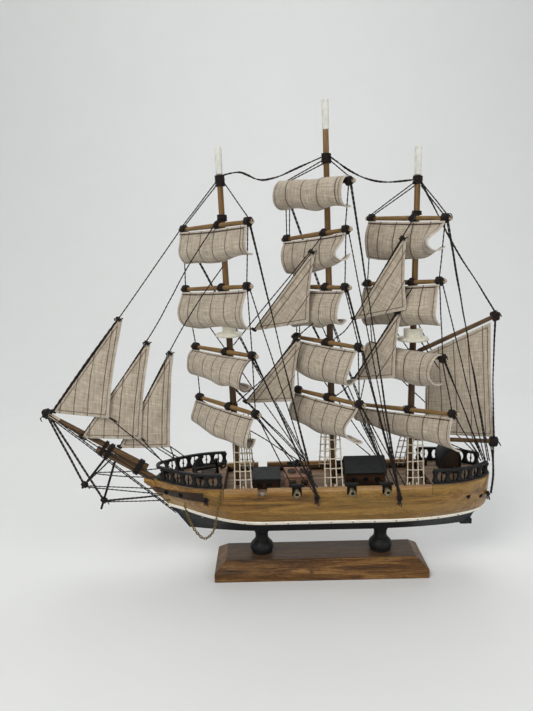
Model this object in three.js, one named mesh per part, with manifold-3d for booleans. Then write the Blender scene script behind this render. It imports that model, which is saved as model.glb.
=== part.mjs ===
// A souvenir model of a three-masted sailing ship, standing on two turned posts on a bevelled board.
// Millimetres. +X runs to the stern, -X to the bow, -Y to port, +Z up.
// The origin is the middle of the board's underside.
import * as THREE from 'three';
import Module from 'manifold-3d';
import { mergeVertices } from 'three/addons/utils/BufferGeometryUtils.js';

const wasm = await Module();
wasm.setup();

// ---------------------------------------------------------------- driving dimensions
const GAP = 0.3;                 // left between pieces that touch

// stand
const BASE_LENGTH = 154;
const BASE_WIDTH = 42;
const BASE_EDGE = 6.4;           // height of the upright edge below the bevel
const BASE_HEIGHT = 13.1;
const BASE_BEVEL = 8.1;
const POST_FORE_X = -42.8;
const POST_AFT_X = 45.2;
const POST_BULB_R = 8.6;
const POST_FOOT_R = 7.6;
const POST_NECK_R = 4.7;
const POST_HEAD_R = 5.6;

// hull
const KEEL_Z = 33.5;             // flat underside of the hull
const DECK_Z = 66;               // main deck in the waist
const RAISED_Z = 72.5;           // forecastle and poop decks
const HALF_BEAM = 27;
const BOW_X = -123.5;
const STERN_X = 123.2;
const FORECASTLE_X = -68;        // after end of the forecastle deck
const POOP_X = 76;               // fore end of the poop deck
const FLAT_SHARE = 0.36;         // width of the flat underside as a share of the beam
const STRIP_Z = 43.6;            // middle of the painted strip amidships
const STRIP_HALF = 1.6;
const STRIP_RISE = 8;            // how much the strip climbs at the bow
const BULWARK_TOP = 72.8;
const BULWARK_T = 2.2;
const SILL = 1;                  // wood left under a gun port
const PORT_X = [-41, -17.3, 20.4, 44.6];

// rails round the raised decks
const RAIL_INSET = 2.4;
const RAIL_W = 2.2;
const LOW_RAIL_H = 1.6;
const RAIL_H = 10.2;
const TOP_RAIL_H = 1.7;
const BALUSTER_R = 1.9;
const BALUSTER_WAIST_R = 1.1;
const BALUSTER_PITCH = 9.8;

// deck fittings
const FORE_HOUSE = { x: -38.2, length: 20.5, width: 25, height: 8.2, roof: 1.6, eave: 0.8 };
const MAIN_HOUSE = { x: 32.8, length: 29, width: 20, height: 11.5, ridge: 8, eave: 1.4 };
const POOP_HOUSE = { x: 95.1, y: 3.5, length: 12, depth: 18, height: 17.4 };
const HATCH = { x: -15.4, length: 20, width: 19, height: 8.4, roof: 1.2, eave: 0.6 };
const CANNON = { side: 10, depth: 9, height: 7.8, axis: 3.4, barrel: 1.9, reach: 4.2 };
const MUZZLE = { radius: 2.5, length: 1.2, flare: 2, bore: 0.95, bored: 4 };
const PORT_W = 2 * MUZZLE.radius + 1.6;

// masts: foot and head of each axis
const MAST_FOOT_R = 2.5;
const MAST_HEAD_R = 1.9;
const MAST_SOCKET = 8;           // how deep a mast stands in the deck
const FORE = { footX: -59, headX: -65, headZ: 301.4, topZ: 175.4, topR: 9.4, drumR: 4.4 };
const MAIN = { footX: 10.4, headX: 6.2, headZ: 329.8 };
const MIZZEN = { footX: 65.8, headX: 68, headZ: 298.9, topZ: 169.4, topR: 10.8, drumR: 6.5 };
const BRIM_T = 2.2;
const DRUM_H = 6;

// spars at the bow and on the mizzen mast
const SPAR_R = 2.4;
const SPAR_TIP_R = 1.7;
const BOWSPRIT_ROOT = [-112, RAISED_Z - 5.8];
const BOWSPRIT_OUT = [-160.3, RAISED_Z + 23.1];
const JIB_BOOM_START = 17.7;     // along the bowsprit from its root
const JIB_BOOM_LENGTH = 80;
const SPANKER_SPAR_R = 1.6;
const JAW_CLEARANCE = 1.2;       // between the mizzen mast and the inner ends of gaff and boom
const GAFF_Z = 161.6;
const GAFF_PEAK = [127, 186.8];
const BOOM_Z = RAISED_Z + 25.4;
const BOOM_END = [129.6, RAISED_Z + 21.6];

// yards and square sails
const BRACE = THREE.MathUtils.degToRad(42);
const YARD_R = 1.7;
const YARD_TIP_R = 1.3;
const YARD_CLEARANCE = 0.4;      // between a yard and the mast behind it
const YARD_FROM_MAST = MAST_FOOT_R + YARD_R + YARD_CLEARANCE;
const SAIL_T = 0.8;
const SAIL_FORWARD = YARD_R + 0.5;
const SAIL_INSET = 2;            // bare yard left at each end
const SAIL_DROP_START = 0.4;     // the head of a sail is this far below the yard's axis
const BELLY_STEPS = 8;

// ---------------------------------------------------------------- colours
function paint(color, roughness, metalness = 0) {
  return new THREE.MeshStandardMaterial({ color, roughness, metalness });
}

const HULL_WOOD = paint(0x9c6b33, 0.4);
const BASE_WOOD = paint(0x7d5531, 0.35);
const SPAR_WOOD = paint(0x7a4a24, 0.5);
const YARD_WOOD = paint(0xb08a5c, 0.6);
const BLACK = paint(0x1d1c1b, 0.5);
const RAIL_WOOD = paint(0xb58a55, 0.5);
const HATCH_WOOD = paint(0xa67c5a, 0.6);
const IRON = paint(0x24221f, 0.45, 0.4);
const CLOTH = paint(0xb8ab98, 0.9);

// ---------------------------------------------------------------- solids
function toManifold(geometry) {
  const bare = geometry.clone();
  bare.deleteAttribute('normal');
  bare.deleteAttribute('uv');
  const merged = mergeVertices(bare, 1e-4);
  return new wasm.Manifold(new wasm.Mesh({
    numProp: 3,
    vertProperties: new Float32Array(merged.attributes.position.array),
    triVerts: new Uint32Array(merged.index.array),
  }));
}

function toGeometry(manifold) {
  const { vertProperties, triVerts } = manifold.getMesh();
  const geometry = new THREE.BufferGeometry();
  geometry.setAttribute('position', new THREE.BufferAttribute(new Float32Array(vertProperties), 3));
  geometry.setIndex(new THREE.BufferAttribute(new Uint32Array(triVerts), 1));
  return geometry;
}

const join = (geometries) => toGeometry(geometries.map(toManifold).reduce((a, b) => a.add(b)));
function cut(geometry, tools) {
  return toGeometry(tools.map(toManifold).reduce((a, b) => a.subtract(b), toManifold(geometry)));
}

// A closed skin over rings that all have the same number of points, with flat fans as its two ends.
function loft(rings) {
  const count = rings[0].length;
  const points = rings.flat();
  const faces = [];
  for (let i = 0; i + 1 < rings.length; i += 1) {
    for (let j = 0; j < count; j += 1) {
      const a = i * count + j;
      const b = i * count + (j + 1) % count;
      faces.push(a, b, b + count, a, b + count, a + count);
    }
  }
  [0, rings.length - 1].forEach((i) => {
    const middle = new THREE.Vector3();
    rings[i].forEach((p) => middle.addScaledVector(p, 1 / count));
    points.push(middle);
    for (let j = 0; j < count; j += 1) {
      const edge = [i * count + j, i * count + (j + 1) % count];
      faces.push(points.length - 1, ...(i === 0 ? edge.reverse() : edge));
    }
  });
  const geometry = new THREE.BufferGeometry();
  geometry.setAttribute('position', new THREE.Float32BufferAttribute(points.flatMap((p) => p.toArray()), 3));
  geometry.setIndex(faces);
  return geometry;
}

const block = (x0, x1, y0, y1, z0, z1) => new THREE.BoxGeometry(x1 - x0, y1 - y0, z1 - z0)
  .translate((x0 + x1) / 2, (y0 + y1) / 2, (z0 + z1) / 2);

// A round bar between two points, rFrom at the first and rTo at the second.
function bar(from, to, rFrom, rTo, sides = 12) {
  const span = to.clone().sub(from);
  const geometry = new THREE.CylinderGeometry(rTo, rFrom, span.length(), sides);
  const turn = new THREE.Quaternion().setFromUnitVectors(new THREE.Vector3(0, 1, 0), span.clone().normalize());
  return geometry.applyQuaternion(turn).translate(...from.clone().add(to).multiplyScalar(0.5).toArray());
}

const onCentre = ([x, z]) => new THREE.Vector3(x, 0, z);

function turned(profile, x, y, z, sides = 20) {
  const points = profile.map(([r, h]) => new THREE.Vector2(r, h));
  return new THREE.LatheGeometry(points, sides).rotateX(Math.PI / 2).translate(x, y, z);
}

// A flat sheet of cloth between corner points, with its two faces set off to each side.
function sheet(corners) {
  const normal = new THREE.Vector3().subVectors(corners[1], corners[0])
    .cross(new THREE.Vector3().subVectors(corners[2], corners[0])).normalize();
  const face = (off) => corners.map((p) => p.clone().addScaledVector(normal, off));
  return loft([face(-SAIL_T / 2), face(SAIL_T / 2)]);
}

const group = new THREE.Group();
function place(name, geometry, material, parent = group) {
  const mesh = new THREE.Mesh(geometry, material);
  mesh.name = name;
  parent.add(mesh);
  return mesh;
}

// ---------------------------------------------------------------- stand
function rectangle(length, width, z) {
  const quarters = [[-0.5, -0.5], [0.5, -0.5], [0.5, 0.5], [-0.5, 0.5]];
  return quarters.map(([sx, sy]) => new THREE.Vector3(sx * length, sy * width, z));
}

function baseBoard() {
  return loft([
    rectangle(BASE_LENGTH, BASE_WIDTH, 0),
    rectangle(BASE_LENGTH, BASE_WIDTH, BASE_EDGE),
    rectangle(BASE_LENGTH - 2 * BASE_BEVEL, BASE_WIDTH - 2 * BASE_BEVEL, BASE_HEIGHT),
  ]);
}

function post(x) {
  const height = KEEL_Z - BASE_HEIGHT - 2 * GAP;
  const profile = [
    [0, 0], [POST_FOOT_R, 0], [POST_BULB_R - 0.3, height * 0.1], [POST_BULB_R, height * 0.2],
    [POST_BULB_R - 0.6, height * 0.33], [POST_NECK_R + 1.2, height * 0.46], [POST_NECK_R, height * 0.58],
    [POST_NECK_R, height * 0.72], [POST_HEAD_R, height * 0.9], [POST_HEAD_R, height], [0, height],
  ];
  return turned(profile, x, 0, BASE_HEIGHT + GAP, 24);
}

// ---------------------------------------------------------------- hull form
function along(points, at) {
  let i = 1;
  while (i < points.length - 1 && at > points[i][0]) i += 1;
  const [z0, x0] = points[i - 1];
  const [z1, x1] = points[i];
  return x0 + (x1 - x0) * THREE.MathUtils.clamp((at - z0) / (z1 - z0), 0, 1);
}

// The stem and the stern post, as x at a height.
const STEM = [[KEEL_Z, -96], [44.5, -104.2], [54.9, -113.2], [65.3, BOW_X], [RAISED_Z, BOW_X]];
const STERN_POST = [[KEEL_Z, 110], [40, 113.5], [47, 121.3], [52, STERN_X], [RAISED_Z, STERN_X]];
const stemX = (z) => along(STEM, z);
const sternX = (z) => along(STERN_POST, z);

// How full the section is: 0 at the keel, 1 at the deck.
const fullness = (z) => THREE.MathUtils.clamp((z - KEEL_Z) / (RAISED_Z - KEEL_Z), 0, 1);

function halfBreadth(x, z) {
  const t = fullness(z);
  const side = FLAT_SHARE + (1 - FLAT_SHARE) * (1 - (1 - t) ** 2.3);
  const shoulder = THREE.MathUtils.lerp(-35, -69, t);
  const quarter = THREE.MathUtils.lerp(30, 77, t);
  let plan = 1;
  if (x < shoulder) {
    const u = Math.min((shoulder - x) / (shoulder - stemX(z)), 1);
    plan = 1 - u ** THREE.MathUtils.lerp(1.7, 2.1, t);
  }
  if (x > quarter) {
    const u = Math.min((x - quarter) / (sternX(z) - quarter), 1);
    plan = (1 - u ** 2.1) ** THREE.MathUtils.lerp(0.8, 0.5, t);
  }
  return Math.max(HALF_BEAM * side * plan, 0.6);
}

// The line of the painted strip climbs towards the bow.
const stripZ = (x) => STRIP_Z + STRIP_RISE * THREE.MathUtils.clamp((-50 - x) / 60, 0, 1) ** 2;

// Points of one waterline, down the port side from the bow and back up the starboard side.
const STATIONS = 18;
function waterline(levelAt) {
  const side = (sign) => Array.from({ length: STATIONS }, (_, i) => {
    const share = (1 - Math.cos(Math.PI * i / (STATIONS - 1))) / 2;
    const z = levelAt(THREE.MathUtils.lerp(BOW_X, STERN_X, share));
    const x = THREE.MathUtils.lerp(stemX(z), sternX(z), share);
    return new THREE.Vector3(x, sign * halfBreadth(x, z), z);
  });
  return [...side(-1), ...side(1).reverse()];
}

function hullBetween(lowAt, highAt, levels) {
  return loft(Array.from({ length: levels }, (_, i) => {
    const share = i / (levels - 1);
    return waterline((x) => THREE.MathUtils.lerp(lowAt(x), highAt(x), share));
  }));
}

const lowerHull = () => hullBetween(() => KEEL_Z, (x) => stripZ(x) - STRIP_HALF, 4);

function mastAxis(mast) {
  const foot = new THREE.Vector3(mast.footX, 0, DECK_Z);
  const head = new THREE.Vector3(mast.headX, 0, mast.headZ);
  return { foot, head, up: head.clone().sub(foot).normalize() };
}

const mastPoint = (mast, z) => {
  const { foot, up } = mastAxis(mast);
  return foot.clone().addScaledVector(up, (z - DECK_Z) / up.z);
};

function upperHull() {
  const body = hullBetween((x) => stripZ(x) - STRIP_HALF + GAP, () => RAISED_Z, 6);
  const waist = block(FORECASTLE_X, POOP_X, -2 * HALF_BEAM, 2 * HALF_BEAM, DECK_Z, RAISED_Z + 5);
  const socket = (from, to, r) => bar(from, to, r + GAP, r + GAP, 16);
  const sockets = [FORE, MAIN, MIZZEN].map((mast) => socket(
    mastPoint(mast, DECK_Z - MAST_SOCKET - GAP), mastPoint(mast, DECK_Z + 5), MAST_FOOT_R));
  const root = onCentre(BOWSPRIT_ROOT);
  const out = onCentre(BOWSPRIT_OUT);
  const inward = root.clone().sub(out).normalize();
  sockets.push(socket(root.clone().addScaledVector(inward, GAP), out, SPAR_R));
  return cut(body, [waist, ...sockets]);
}

// One bulwark: a strip that follows the deck's edge, with a gun port cut down to its sill at each gun.
function bulwark(sign) {
  const low = DECK_Z + GAP;
  const steps = 16;
  const x0 = FORECASTLE_X + GAP;
  const x1 = POOP_X - GAP;
  const edge = Array.from({ length: steps + 1 }, (_, i) => THREE.MathUtils.lerp(x0, x1, i / steps));
  const outer = edge.map((x) => new THREE.Vector2(x, sign * halfBreadth(x, DECK_Z)));
  const inner = edge.map((x) => new THREE.Vector2(x, sign * (halfBreadth(x, DECK_Z) - BULWARK_T))).reverse();
  const strip = new THREE.ExtrudeGeometry(new THREE.Shape([...outer, ...inner]), {
    depth: BULWARK_TOP - low, bevelEnabled: false,
  }).translate(0, 0, low);
  return cut(strip, PORT_X.map((x) => block(
    x - PORT_W / 2, x + PORT_W / 2, -2 * HALF_BEAM, 2 * HALF_BEAM, low + SILL, BULWARK_TOP + 1)));
}

// ---------------------------------------------------------------- rails with turned balusters
function balustrade(sign, fromX, toX) {
  const steps = 12;
  const line = Array.from({ length: steps + 1 }, (_, i) => {
    const x = THREE.MathUtils.lerp(fromX, toX, i / steps);
    return new THREE.Vector2(x, halfBreadth(x, RAISED_Z) - RAIL_INSET - RAIL_W / 2);
  });
  const across = line.map((p, i) => {
    const run = line[Math.min(i + 1, steps)].clone().sub(line[Math.max(i - 1, 0)]).normalize();
    return new THREE.Vector2(-run.y, run.x);
  });
  const offset = (by) => line.map((p, i) => {
    const moved = p.clone().addScaledVector(across[i], by);
    return new THREE.Vector2(moved.x, sign * moved.y);
  });
  const shape = new THREE.Shape([...offset(RAIL_W / 2), ...offset(-RAIL_W / 2).reverse()]);
  const low = RAISED_Z + GAP;
  const rail = (z, depth) => new THREE.ExtrudeGeometry(shape, { depth, bevelEnabled: false }).translate(0, 0, z);
  const sunk = 0.4;
  const foot = low + LOW_RAIL_H - sunk;
  const tall = RAIL_H - TOP_RAIL_H - LOW_RAIL_H + 2 * sunk;
  const profile = [
    [0, 0], [BALUSTER_R, 0], [BALUSTER_R, tall * 0.15], [BALUSTER_WAIST_R, tall * 0.5],
    [BALUSTER_R, tall * 0.85], [BALUSTER_R, tall], [0, tall],
  ];
  const path = new THREE.SplineCurve(line);
  const count = Math.round(path.getLength() / BALUSTER_PITCH);
  const posts = Array.from({ length: count + 1 }, (_, i) => {
    const p = path.getPointAt(THREE.MathUtils.lerp(0.03, 0.97, i / count));
    return turned(profile, p.x, sign * p.y, foot, 8);
  });
  return join([rail(low, LOW_RAIL_H), rail(low + RAIL_H - TOP_RAIL_H, TOP_RAIL_H), ...posts]);
}

// ---------------------------------------------------------------- deck fittings
// A flat lid that stands proud of the walls all round: the fore deckhouse and the cargo hatch.
function liddedBox({ x, length, width, height, roof, eave }) {
  const low = DECK_Z + GAP;
  const slab = (inset, z0, z1) => block(
    x - length / 2 + inset, x + length / 2 - inset, inset - width / 2, width / 2 - inset, z0, z1);
  return join([slab(eave, low, low + height - roof / 2), slab(0, low + height - roof, low + height)]);
}

function mainHouse({ x, length, width, height, ridge, eave }) {
  const low = DECK_Z + GAP;
  const half = width / 2;
  const gable = new THREE.Shape([
    [-half, 0], [half, 0], [half, height - eave], [half + eave, height - eave], [half + eave, height],
    [0, height + ridge], [-half - eave, height], [-half - eave, height - eave], [-half, height - eave],
  ].map(([y, z]) => new THREE.Vector2(y, z)));
  const lengthways = new THREE.Matrix4().makeBasis(
    new THREE.Vector3(0, 1, 0), new THREE.Vector3(0, 0, 1), new THREE.Vector3(1, 0, 0));
  const solid = new THREE.ExtrudeGeometry(gable, { depth: length, bevelEnabled: false });
  return solid.applyMatrix4(lengthways).translate(x - length / 2, 0, low);
}

function poopHouse({ x, y, length, depth, height }) {
  const radius = length / 2;
  const arch = new THREE.Shape();
  arch.moveTo(-radius, 0);
  arch.lineTo(radius, 0);
  arch.lineTo(radius, height - radius);
  arch.absarc(0, height - radius, radius, 0, Math.PI, false);
  const solid = new THREE.ExtrudeGeometry(arch, { depth, bevelEnabled: false, curveSegments: 10 });
  return solid.rotateX(Math.PI / 2).translate(x, y + depth / 2, RAISED_Z + GAP);
}

// A gun in its carriage, pointing out through its port on the port side.
function cannon(x) {
  const { side, depth, height, axis, barrel, reach } = CANNON;
  const low = DECK_Z + GAP;
  const wall = halfBreadth(x, DECK_Z) - BULWARK_T;
  const front = wall - 2 * GAP;
  const carriage = block(x - side / 2, x + side / 2, -front, depth - front, low, low + height);
  const mouth = wall + BULWARK_T + reach;
  const length = mouth - front + depth / 2;
  const ring = length - MUZZLE.length;
  const profile = [
    [0, 0], [barrel, 0], [barrel, ring - MUZZLE.flare], [MUZZLE.radius, ring], [MUZZLE.radius, length],
    [MUZZLE.bore, length], [MUZZLE.bore, length - MUZZLE.bored], [0, length - MUZZLE.bored],
  ];
  const gun = new THREE.LatheGeometry(profile.map(([r, h]) => new THREE.Vector2(r, h)), 14)
    .rotateX(Math.PI).translate(x, depth / 2 - front, low + axis);
  return join([carriage, gun]);
}

// The spare anchor: shank, stock, curved arms and two flukes, lying across the forecastle.
function anchor() {
  const shank = bar(new THREE.Vector3(-9, 0, 0), new THREE.Vector3(9, 0, 0), 1, 0.8, 8);
  const stock = bar(new THREE.Vector3(6.4, 0, -6), new THREE.Vector3(6.4, 0, 6), 0.8, 0.8, 8);
  const ring = new THREE.TorusGeometry(1.9, 0.5, 6, 10).translate(10.2, 0, 0);
  const radius = 9;
  const arc = new THREE.Shape();
  arc.absarc(0, 0, radius, Math.PI - 1, Math.PI + 1, false);
  arc.absarc(0, 0, radius - 1.8, Math.PI + 1, Math.PI - 1, true);
  const thick = 1.6;
  const arms = new THREE.ExtrudeGeometry(arc, { depth: thick, bevelEnabled: false, curveSegments: 10 })
    .translate(0, 0, -thick / 2);
  const flukes = [-1, 1].map((side) => new THREE.ConeGeometry(1.9, 4.4, 6)
    .rotateZ(-side * 0.7).translate(-3.9, side * 6.9, 0));
  return join([shank, stock, ring, arms, ...flukes]);
}

// ---------------------------------------------------------------- masts and spars
function mastSolid(mast) {
  const foot = mastPoint(mast, DECK_Z - MAST_SOCKET);
  const { head } = mastAxis(mast);
  const pole = bar(foot, head, MAST_FOOT_R, MAST_HEAD_R, 12);
  if (!mast.topZ) return pole;
  const { x } = mastPoint(mast, mast.topZ);
  const disc = (r, height) => turned([[0, 0], [r, 0], [r, height], [0, height]], x, 0, mast.topZ);
  return join([pole, disc(mast.topR, BRIM_T), disc(mast.drumR, BRIM_T + DRUM_H)]);
}

// The jib boom lies on the bowsprit, side by side with it, and runs on past its end.
function jibBoom() {
  const root = onCentre(BOWSPRIT_ROOT);
  const out = onCentre(BOWSPRIT_OUT).sub(root).normalize();
  const above = new THREE.Vector3(-out.z, 0, out.x).multiplyScalar(-(2 * SPAR_R + 2 * GAP));
  const start = root.addScaledVector(out, JIB_BOOM_START).add(above);
  return bar(start, start.clone().addScaledVector(out, JIB_BOOM_LENGTH), SPAR_R, SPAR_TIP_R);
}

// A spar of the spanker, from just abaft the mizzen mast to its outer end.
function spankerSpar(jawZ, end) {
  const jaw = mastPoint(MIZZEN, jawZ);
  jaw.x += MAST_FOOT_R + JAW_CLEARANCE;
  return bar(jaw, onCentre(end), SPANKER_SPAR_R, SPANKER_SPAR_R);
}

// A yard with its sail. The group's X runs along the yard, its -Y points forward and its Z up.
// height: of the yard on the mast; port and starboard: arm lengths; tilt: degrees, port arm up.
// drop and belly are the sail's.
function yardAndSail(mastName, mast, number, { height, starboard, port, tilt, drop, belly }) {
  const rig = new THREE.Group();
  const forward = new THREE.Vector3(-Math.sin(BRACE), -Math.cos(BRACE), 0);
  rig.position.copy(mastPoint(mast, height)).addScaledVector(forward, YARD_FROM_MAST);
  rig.rotation.set(0, THREE.MathUtils.degToRad(-tilt), -BRACE, 'ZYX');
  group.add(rig);

  const middle = (port - starboard) / 2;
  const taper = [[0, -starboard], [YARD_TIP_R, -starboard], [YARD_R, middle], [YARD_TIP_R, port], [0, port]];
  const yard = turned(taper, 0, 0, 0, 12).rotateY(Math.PI / 2);
  place(`${mastName}_yard_${number}`, yard, YARD_WOOD, rig);

  const curve = (thick) => Array.from({ length: BELLY_STEPS + 1 }, (_, i) => {
    const share = i / BELLY_STEPS;
    const out = thick + belly * Math.sin(Math.PI * share * 0.8);
    return new THREE.Vector2(out, -SAIL_DROP_START - drop * share);
  });
  const width = port + starboard - 2 * SAIL_INSET;
  const profile = new THREE.Shape([...curve(SAIL_FORWARD), ...curve(SAIL_FORWARD + SAIL_T).reverse()]);
  const sail = new THREE.ExtrudeGeometry(profile, { depth: width, bevelEnabled: false });
  sail.applyMatrix4(new THREE.Matrix4().makeBasis(
    new THREE.Vector3(0, -1, 0), new THREE.Vector3(0, 0, 1), new THREE.Vector3(-1, 0, 0)));
  place(`${mastName}_sail_${number}`, sail.translate(port - SAIL_INSET, 0, 0), CLOTH, rig);
}

const FORE_YARDS = [
  { height: 251.1, starboard: 39.4, port: 32.8, tilt: 2.3, drop: 24, belly: 5 },
  { height: 209.4, starboard: 41.9, port: 29.1, tilt: 3.2, drop: 26, belly: 6 },
  { height: 165.1, starboard: 35.3, port: 30.4, tilt: -1.2, drop: 25, belly: 8 },
  { height: 125.9, starboard: 34.8, port: 30.5, tilt: -3.6, drop: 24, belly: 6 },
];
const MAIN_YARDS = [
  { height: 277.3, starboard: 36.3, port: 25.4, tilt: -1.7, drop: 21, belly: 7 },
  { height: 244.3, starboard: 37, port: 22.5, tilt: 5.2, drop: 27, belly: 4 },
  { height: 208.1, starboard: 30.5, port: 21.2, tilt: 0.5, drop: 28, belly: 4 },
  { height: 170.2, starboard: 30.7, port: 31.2, tilt: -3.1, drop: 27, belly: 7 },
  { height: 130.9, starboard: 30.9, port: 31.3, tilt: -3, drop: 24, belly: 7 },
];
const MIZZEN_YARDS = [
  { height: 252.8, starboard: 36.8, port: 27.6, tilt: -2.5, drop: 27, belly: 6 },
  { height: 210.1, starboard: 39.4, port: 25.2, tilt: 3, drop: 27, belly: 6 },
  { height: 161.4, starboard: 34.9, port: 29.4, tilt: -3.6, drop: 27, belly: 8 },
  { height: 120.4, starboard: 44.5, port: 37.9, tilt: 3.6, drop: 22, belly: 7 },
];

// ---------------------------------------------------------------- fore-and-aft sails, by their corners
const corner = (x, y, z) => new THREE.Vector3(x, y, z);
// jib corners, with heights above the raised deck that carries the bowsprit
const overDeck = (x, y, height) => corner(x, y, RAISED_Z + height);
const JIBS = [
  [overDeck(-190, 0, 50.7), overDeck(-137.4, 0, 117.9), overDeck(-148, -7.5, 47.7)],
  [overDeck(-170.4, -3.6, 32.5), overDeck(-118.6, 0, 100.7), overDeck(-127, -5, 31.1)],
  [overDeck(-144.2, -1, 23.5), overDeck(-102.9, 0, 93.1), overDeck(-106.8, -3, 23.9)],
];
const STAYSAILS = [
  [corner(-45.1, -2, 179), corner(-3.2, -8.5, 233.4), corner(-6.6, -8, 185.1)],
  [corner(-52.6, -3, 127.8), corner(-13.9, -5, 174), corner(-17.5, -8, 129.7)],
  [corner(24.1, -3, 185), corner(56.9, -11, 241), corner(58.4, -15, 192.7)],
  [corner(24.5, -3, 142.5), corner(54.5, -10, 191.8), corner(51.8, -13, 145.8)],
];
const SPANKER = [
  corner(76.4, 0, BOOM_Z + 3.5), corner(126.4, 0, BOOM_END[1] + 3.5),
  corner(120.6, 0, GAFF_PEAK[1] - 6), corner(76.4, 0, GAFF_Z - 1),
];

// ---------------------------------------------------------------- assembly
place('base_board', baseBoard(), BASE_WOOD);
place('post_fore', post(POST_FORE_X), BLACK);
place('post_aft', post(POST_AFT_X), BLACK);
place('lower_hull', lowerHull(), BLACK);
place('upper_hull', upperHull(), HULL_WOOD);
[['port', -1], ['starboard', 1]].forEach(([side, sign]) => {
  place(`bulwark_${side}`, bulwark(sign), RAIL_WOOD);
  place(`forecastle_rail_${side}`, balustrade(sign, FORECASTLE_X - 1, -113), BLACK);
  place(`poop_rail_${side}`, balustrade(sign, POOP_X + 1, STERN_X - 4.5), BLACK);
});
place('fore_deckhouse', liddedBox(FORE_HOUSE), BLACK);
place('main_deckhouse', mainHouse(MAIN_HOUSE), BLACK);
place('poop_cabin', poopHouse(POOP_HOUSE), BLACK);
place('cargo_hatch', liddedBox(HATCH), HATCH_WOOD);
['fore', 'mid', 'aft'].forEach((name, i) => place(`cannon_port_${name}`, cannon(PORT_X[i + 1]), IRON));
const spare = place('anchor', anchor(), IRON);
spare.position.set(-81, -3, RAISED_Z + 7);
spare.rotation.set(THREE.MathUtils.degToRad(35), 0, THREE.MathUtils.degToRad(8));

place('bowsprit', bar(onCentre(BOWSPRIT_ROOT), onCentre(BOWSPRIT_OUT), SPAR_R, SPAR_R), SPAR_WOOD);
place('jib_boom', jibBoom(), SPAR_WOOD);
Object.entries({ fore: [FORE, FORE_YARDS], main: [MAIN, MAIN_YARDS], mizzen: [MIZZEN, MIZZEN_YARDS] })
  .forEach(([name, [mast, yards]]) => {
    place(`${name}_mast`, mastSolid(mast), SPAR_WOOD);
    yards.forEach((yard, i) => yardAndSail(name, mast, i + 1, yard));
  });
place('gaff', spankerSpar(GAFF_Z, GAFF_PEAK), SPAR_WOOD);
place('boom', spankerSpar(BOOM_Z, BOOM_END), SPAR_WOOD);
place('spanker', sheet(SPANKER), CLOTH);
JIBS.forEach((corners, i) => place(`jib_${i + 1}`, sheet(corners), CLOTH));
STAYSAILS.forEach((corners, i) => place(`staysail_${i + 1}`, sheet(corners), CLOTH));

export default group;
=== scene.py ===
import math

import bpy
import numpy as np
from mathutils import Matrix


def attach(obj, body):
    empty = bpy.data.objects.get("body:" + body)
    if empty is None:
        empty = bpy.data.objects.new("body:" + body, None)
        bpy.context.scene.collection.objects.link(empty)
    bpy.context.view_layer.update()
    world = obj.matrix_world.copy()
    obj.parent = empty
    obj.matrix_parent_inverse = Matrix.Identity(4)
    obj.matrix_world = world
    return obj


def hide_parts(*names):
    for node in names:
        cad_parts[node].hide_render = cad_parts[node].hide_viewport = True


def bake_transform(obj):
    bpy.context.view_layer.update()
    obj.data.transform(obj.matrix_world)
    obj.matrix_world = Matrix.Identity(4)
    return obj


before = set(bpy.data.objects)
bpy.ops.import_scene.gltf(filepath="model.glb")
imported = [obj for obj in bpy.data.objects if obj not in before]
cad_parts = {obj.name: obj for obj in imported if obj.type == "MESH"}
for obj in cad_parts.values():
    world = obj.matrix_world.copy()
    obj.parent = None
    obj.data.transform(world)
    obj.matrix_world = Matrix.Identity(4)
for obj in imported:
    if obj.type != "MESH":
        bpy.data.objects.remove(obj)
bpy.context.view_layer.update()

MM = 0.001
SCENE = bpy.context.scene
SIDES = (("port", -1), ("starboard", 1))


def V(x, y, z):
    return np.array([x, y, z], float)


def unit(v):
    return v / np.linalg.norm(v)


def lerp(a, b, share):
    return a + (b - a) * share


def lengths_along(line):
    """How far each point lies from the line's start, measured along the line."""
    return np.concatenate([[0], np.cumsum(np.linalg.norm(np.diff(line, axis=0), axis=1))])


def circle(count):
    """Angles once round, without the last one that would repeat the first."""
    return np.linspace(0, 2 * math.pi, count + 1)[:-1]


# ------------------------------------------------------------------ camera and light
def aimed(right, above, look, place):
    """The matrix of a camera or lamp that looks along look."""
    return Matrix([[right[i], above[i], -look[i], place[i]] for i in range(3)] + [[0, 0, 0, 1]])


def make_camera():
    data = bpy.data.cameras.new("camera")
    data.lens = 30.38
    data.sensor_width = 36
    yaw, pitch, roll = -0.003872, 0.177359, 0.0241111
    look = V(math.sin(yaw) * math.cos(pitch), math.cos(yaw) * math.cos(pitch), -math.sin(pitch))
    level = V(math.cos(yaw), -math.sin(yaw), 0)
    up = np.cross(level, look)
    right = level * math.cos(roll) - up * math.sin(roll)
    above = level * math.sin(roll) + up * math.cos(roll)
    place = V(-34.43, -415.57, 235.55) * MM
    camera = bpy.data.objects.new("camera", data)
    SCENE.collection.objects.link(camera)
    camera.matrix_world = aimed(right, above, look, place)
    data.clip_start, data.clip_end = 0.01, 20
    SCENE.camera = camera


def soft_light(name, place, aim, size, power, colour):
    data = bpy.data.lights.new(name, "AREA")
    data.shape = "DISK"
    data.size = size
    data.energy = power
    data.color = colour
    light = bpy.data.objects.new(name, data)
    SCENE.collection.objects.link(light)
    toward = unit(np.array(aim, float) - np.array(place, float))
    side = unit(np.cross(toward, V(0, 0, 1)))
    top = np.cross(side, toward)
    light.matrix_world = aimed(side, top, toward, place)


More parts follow.
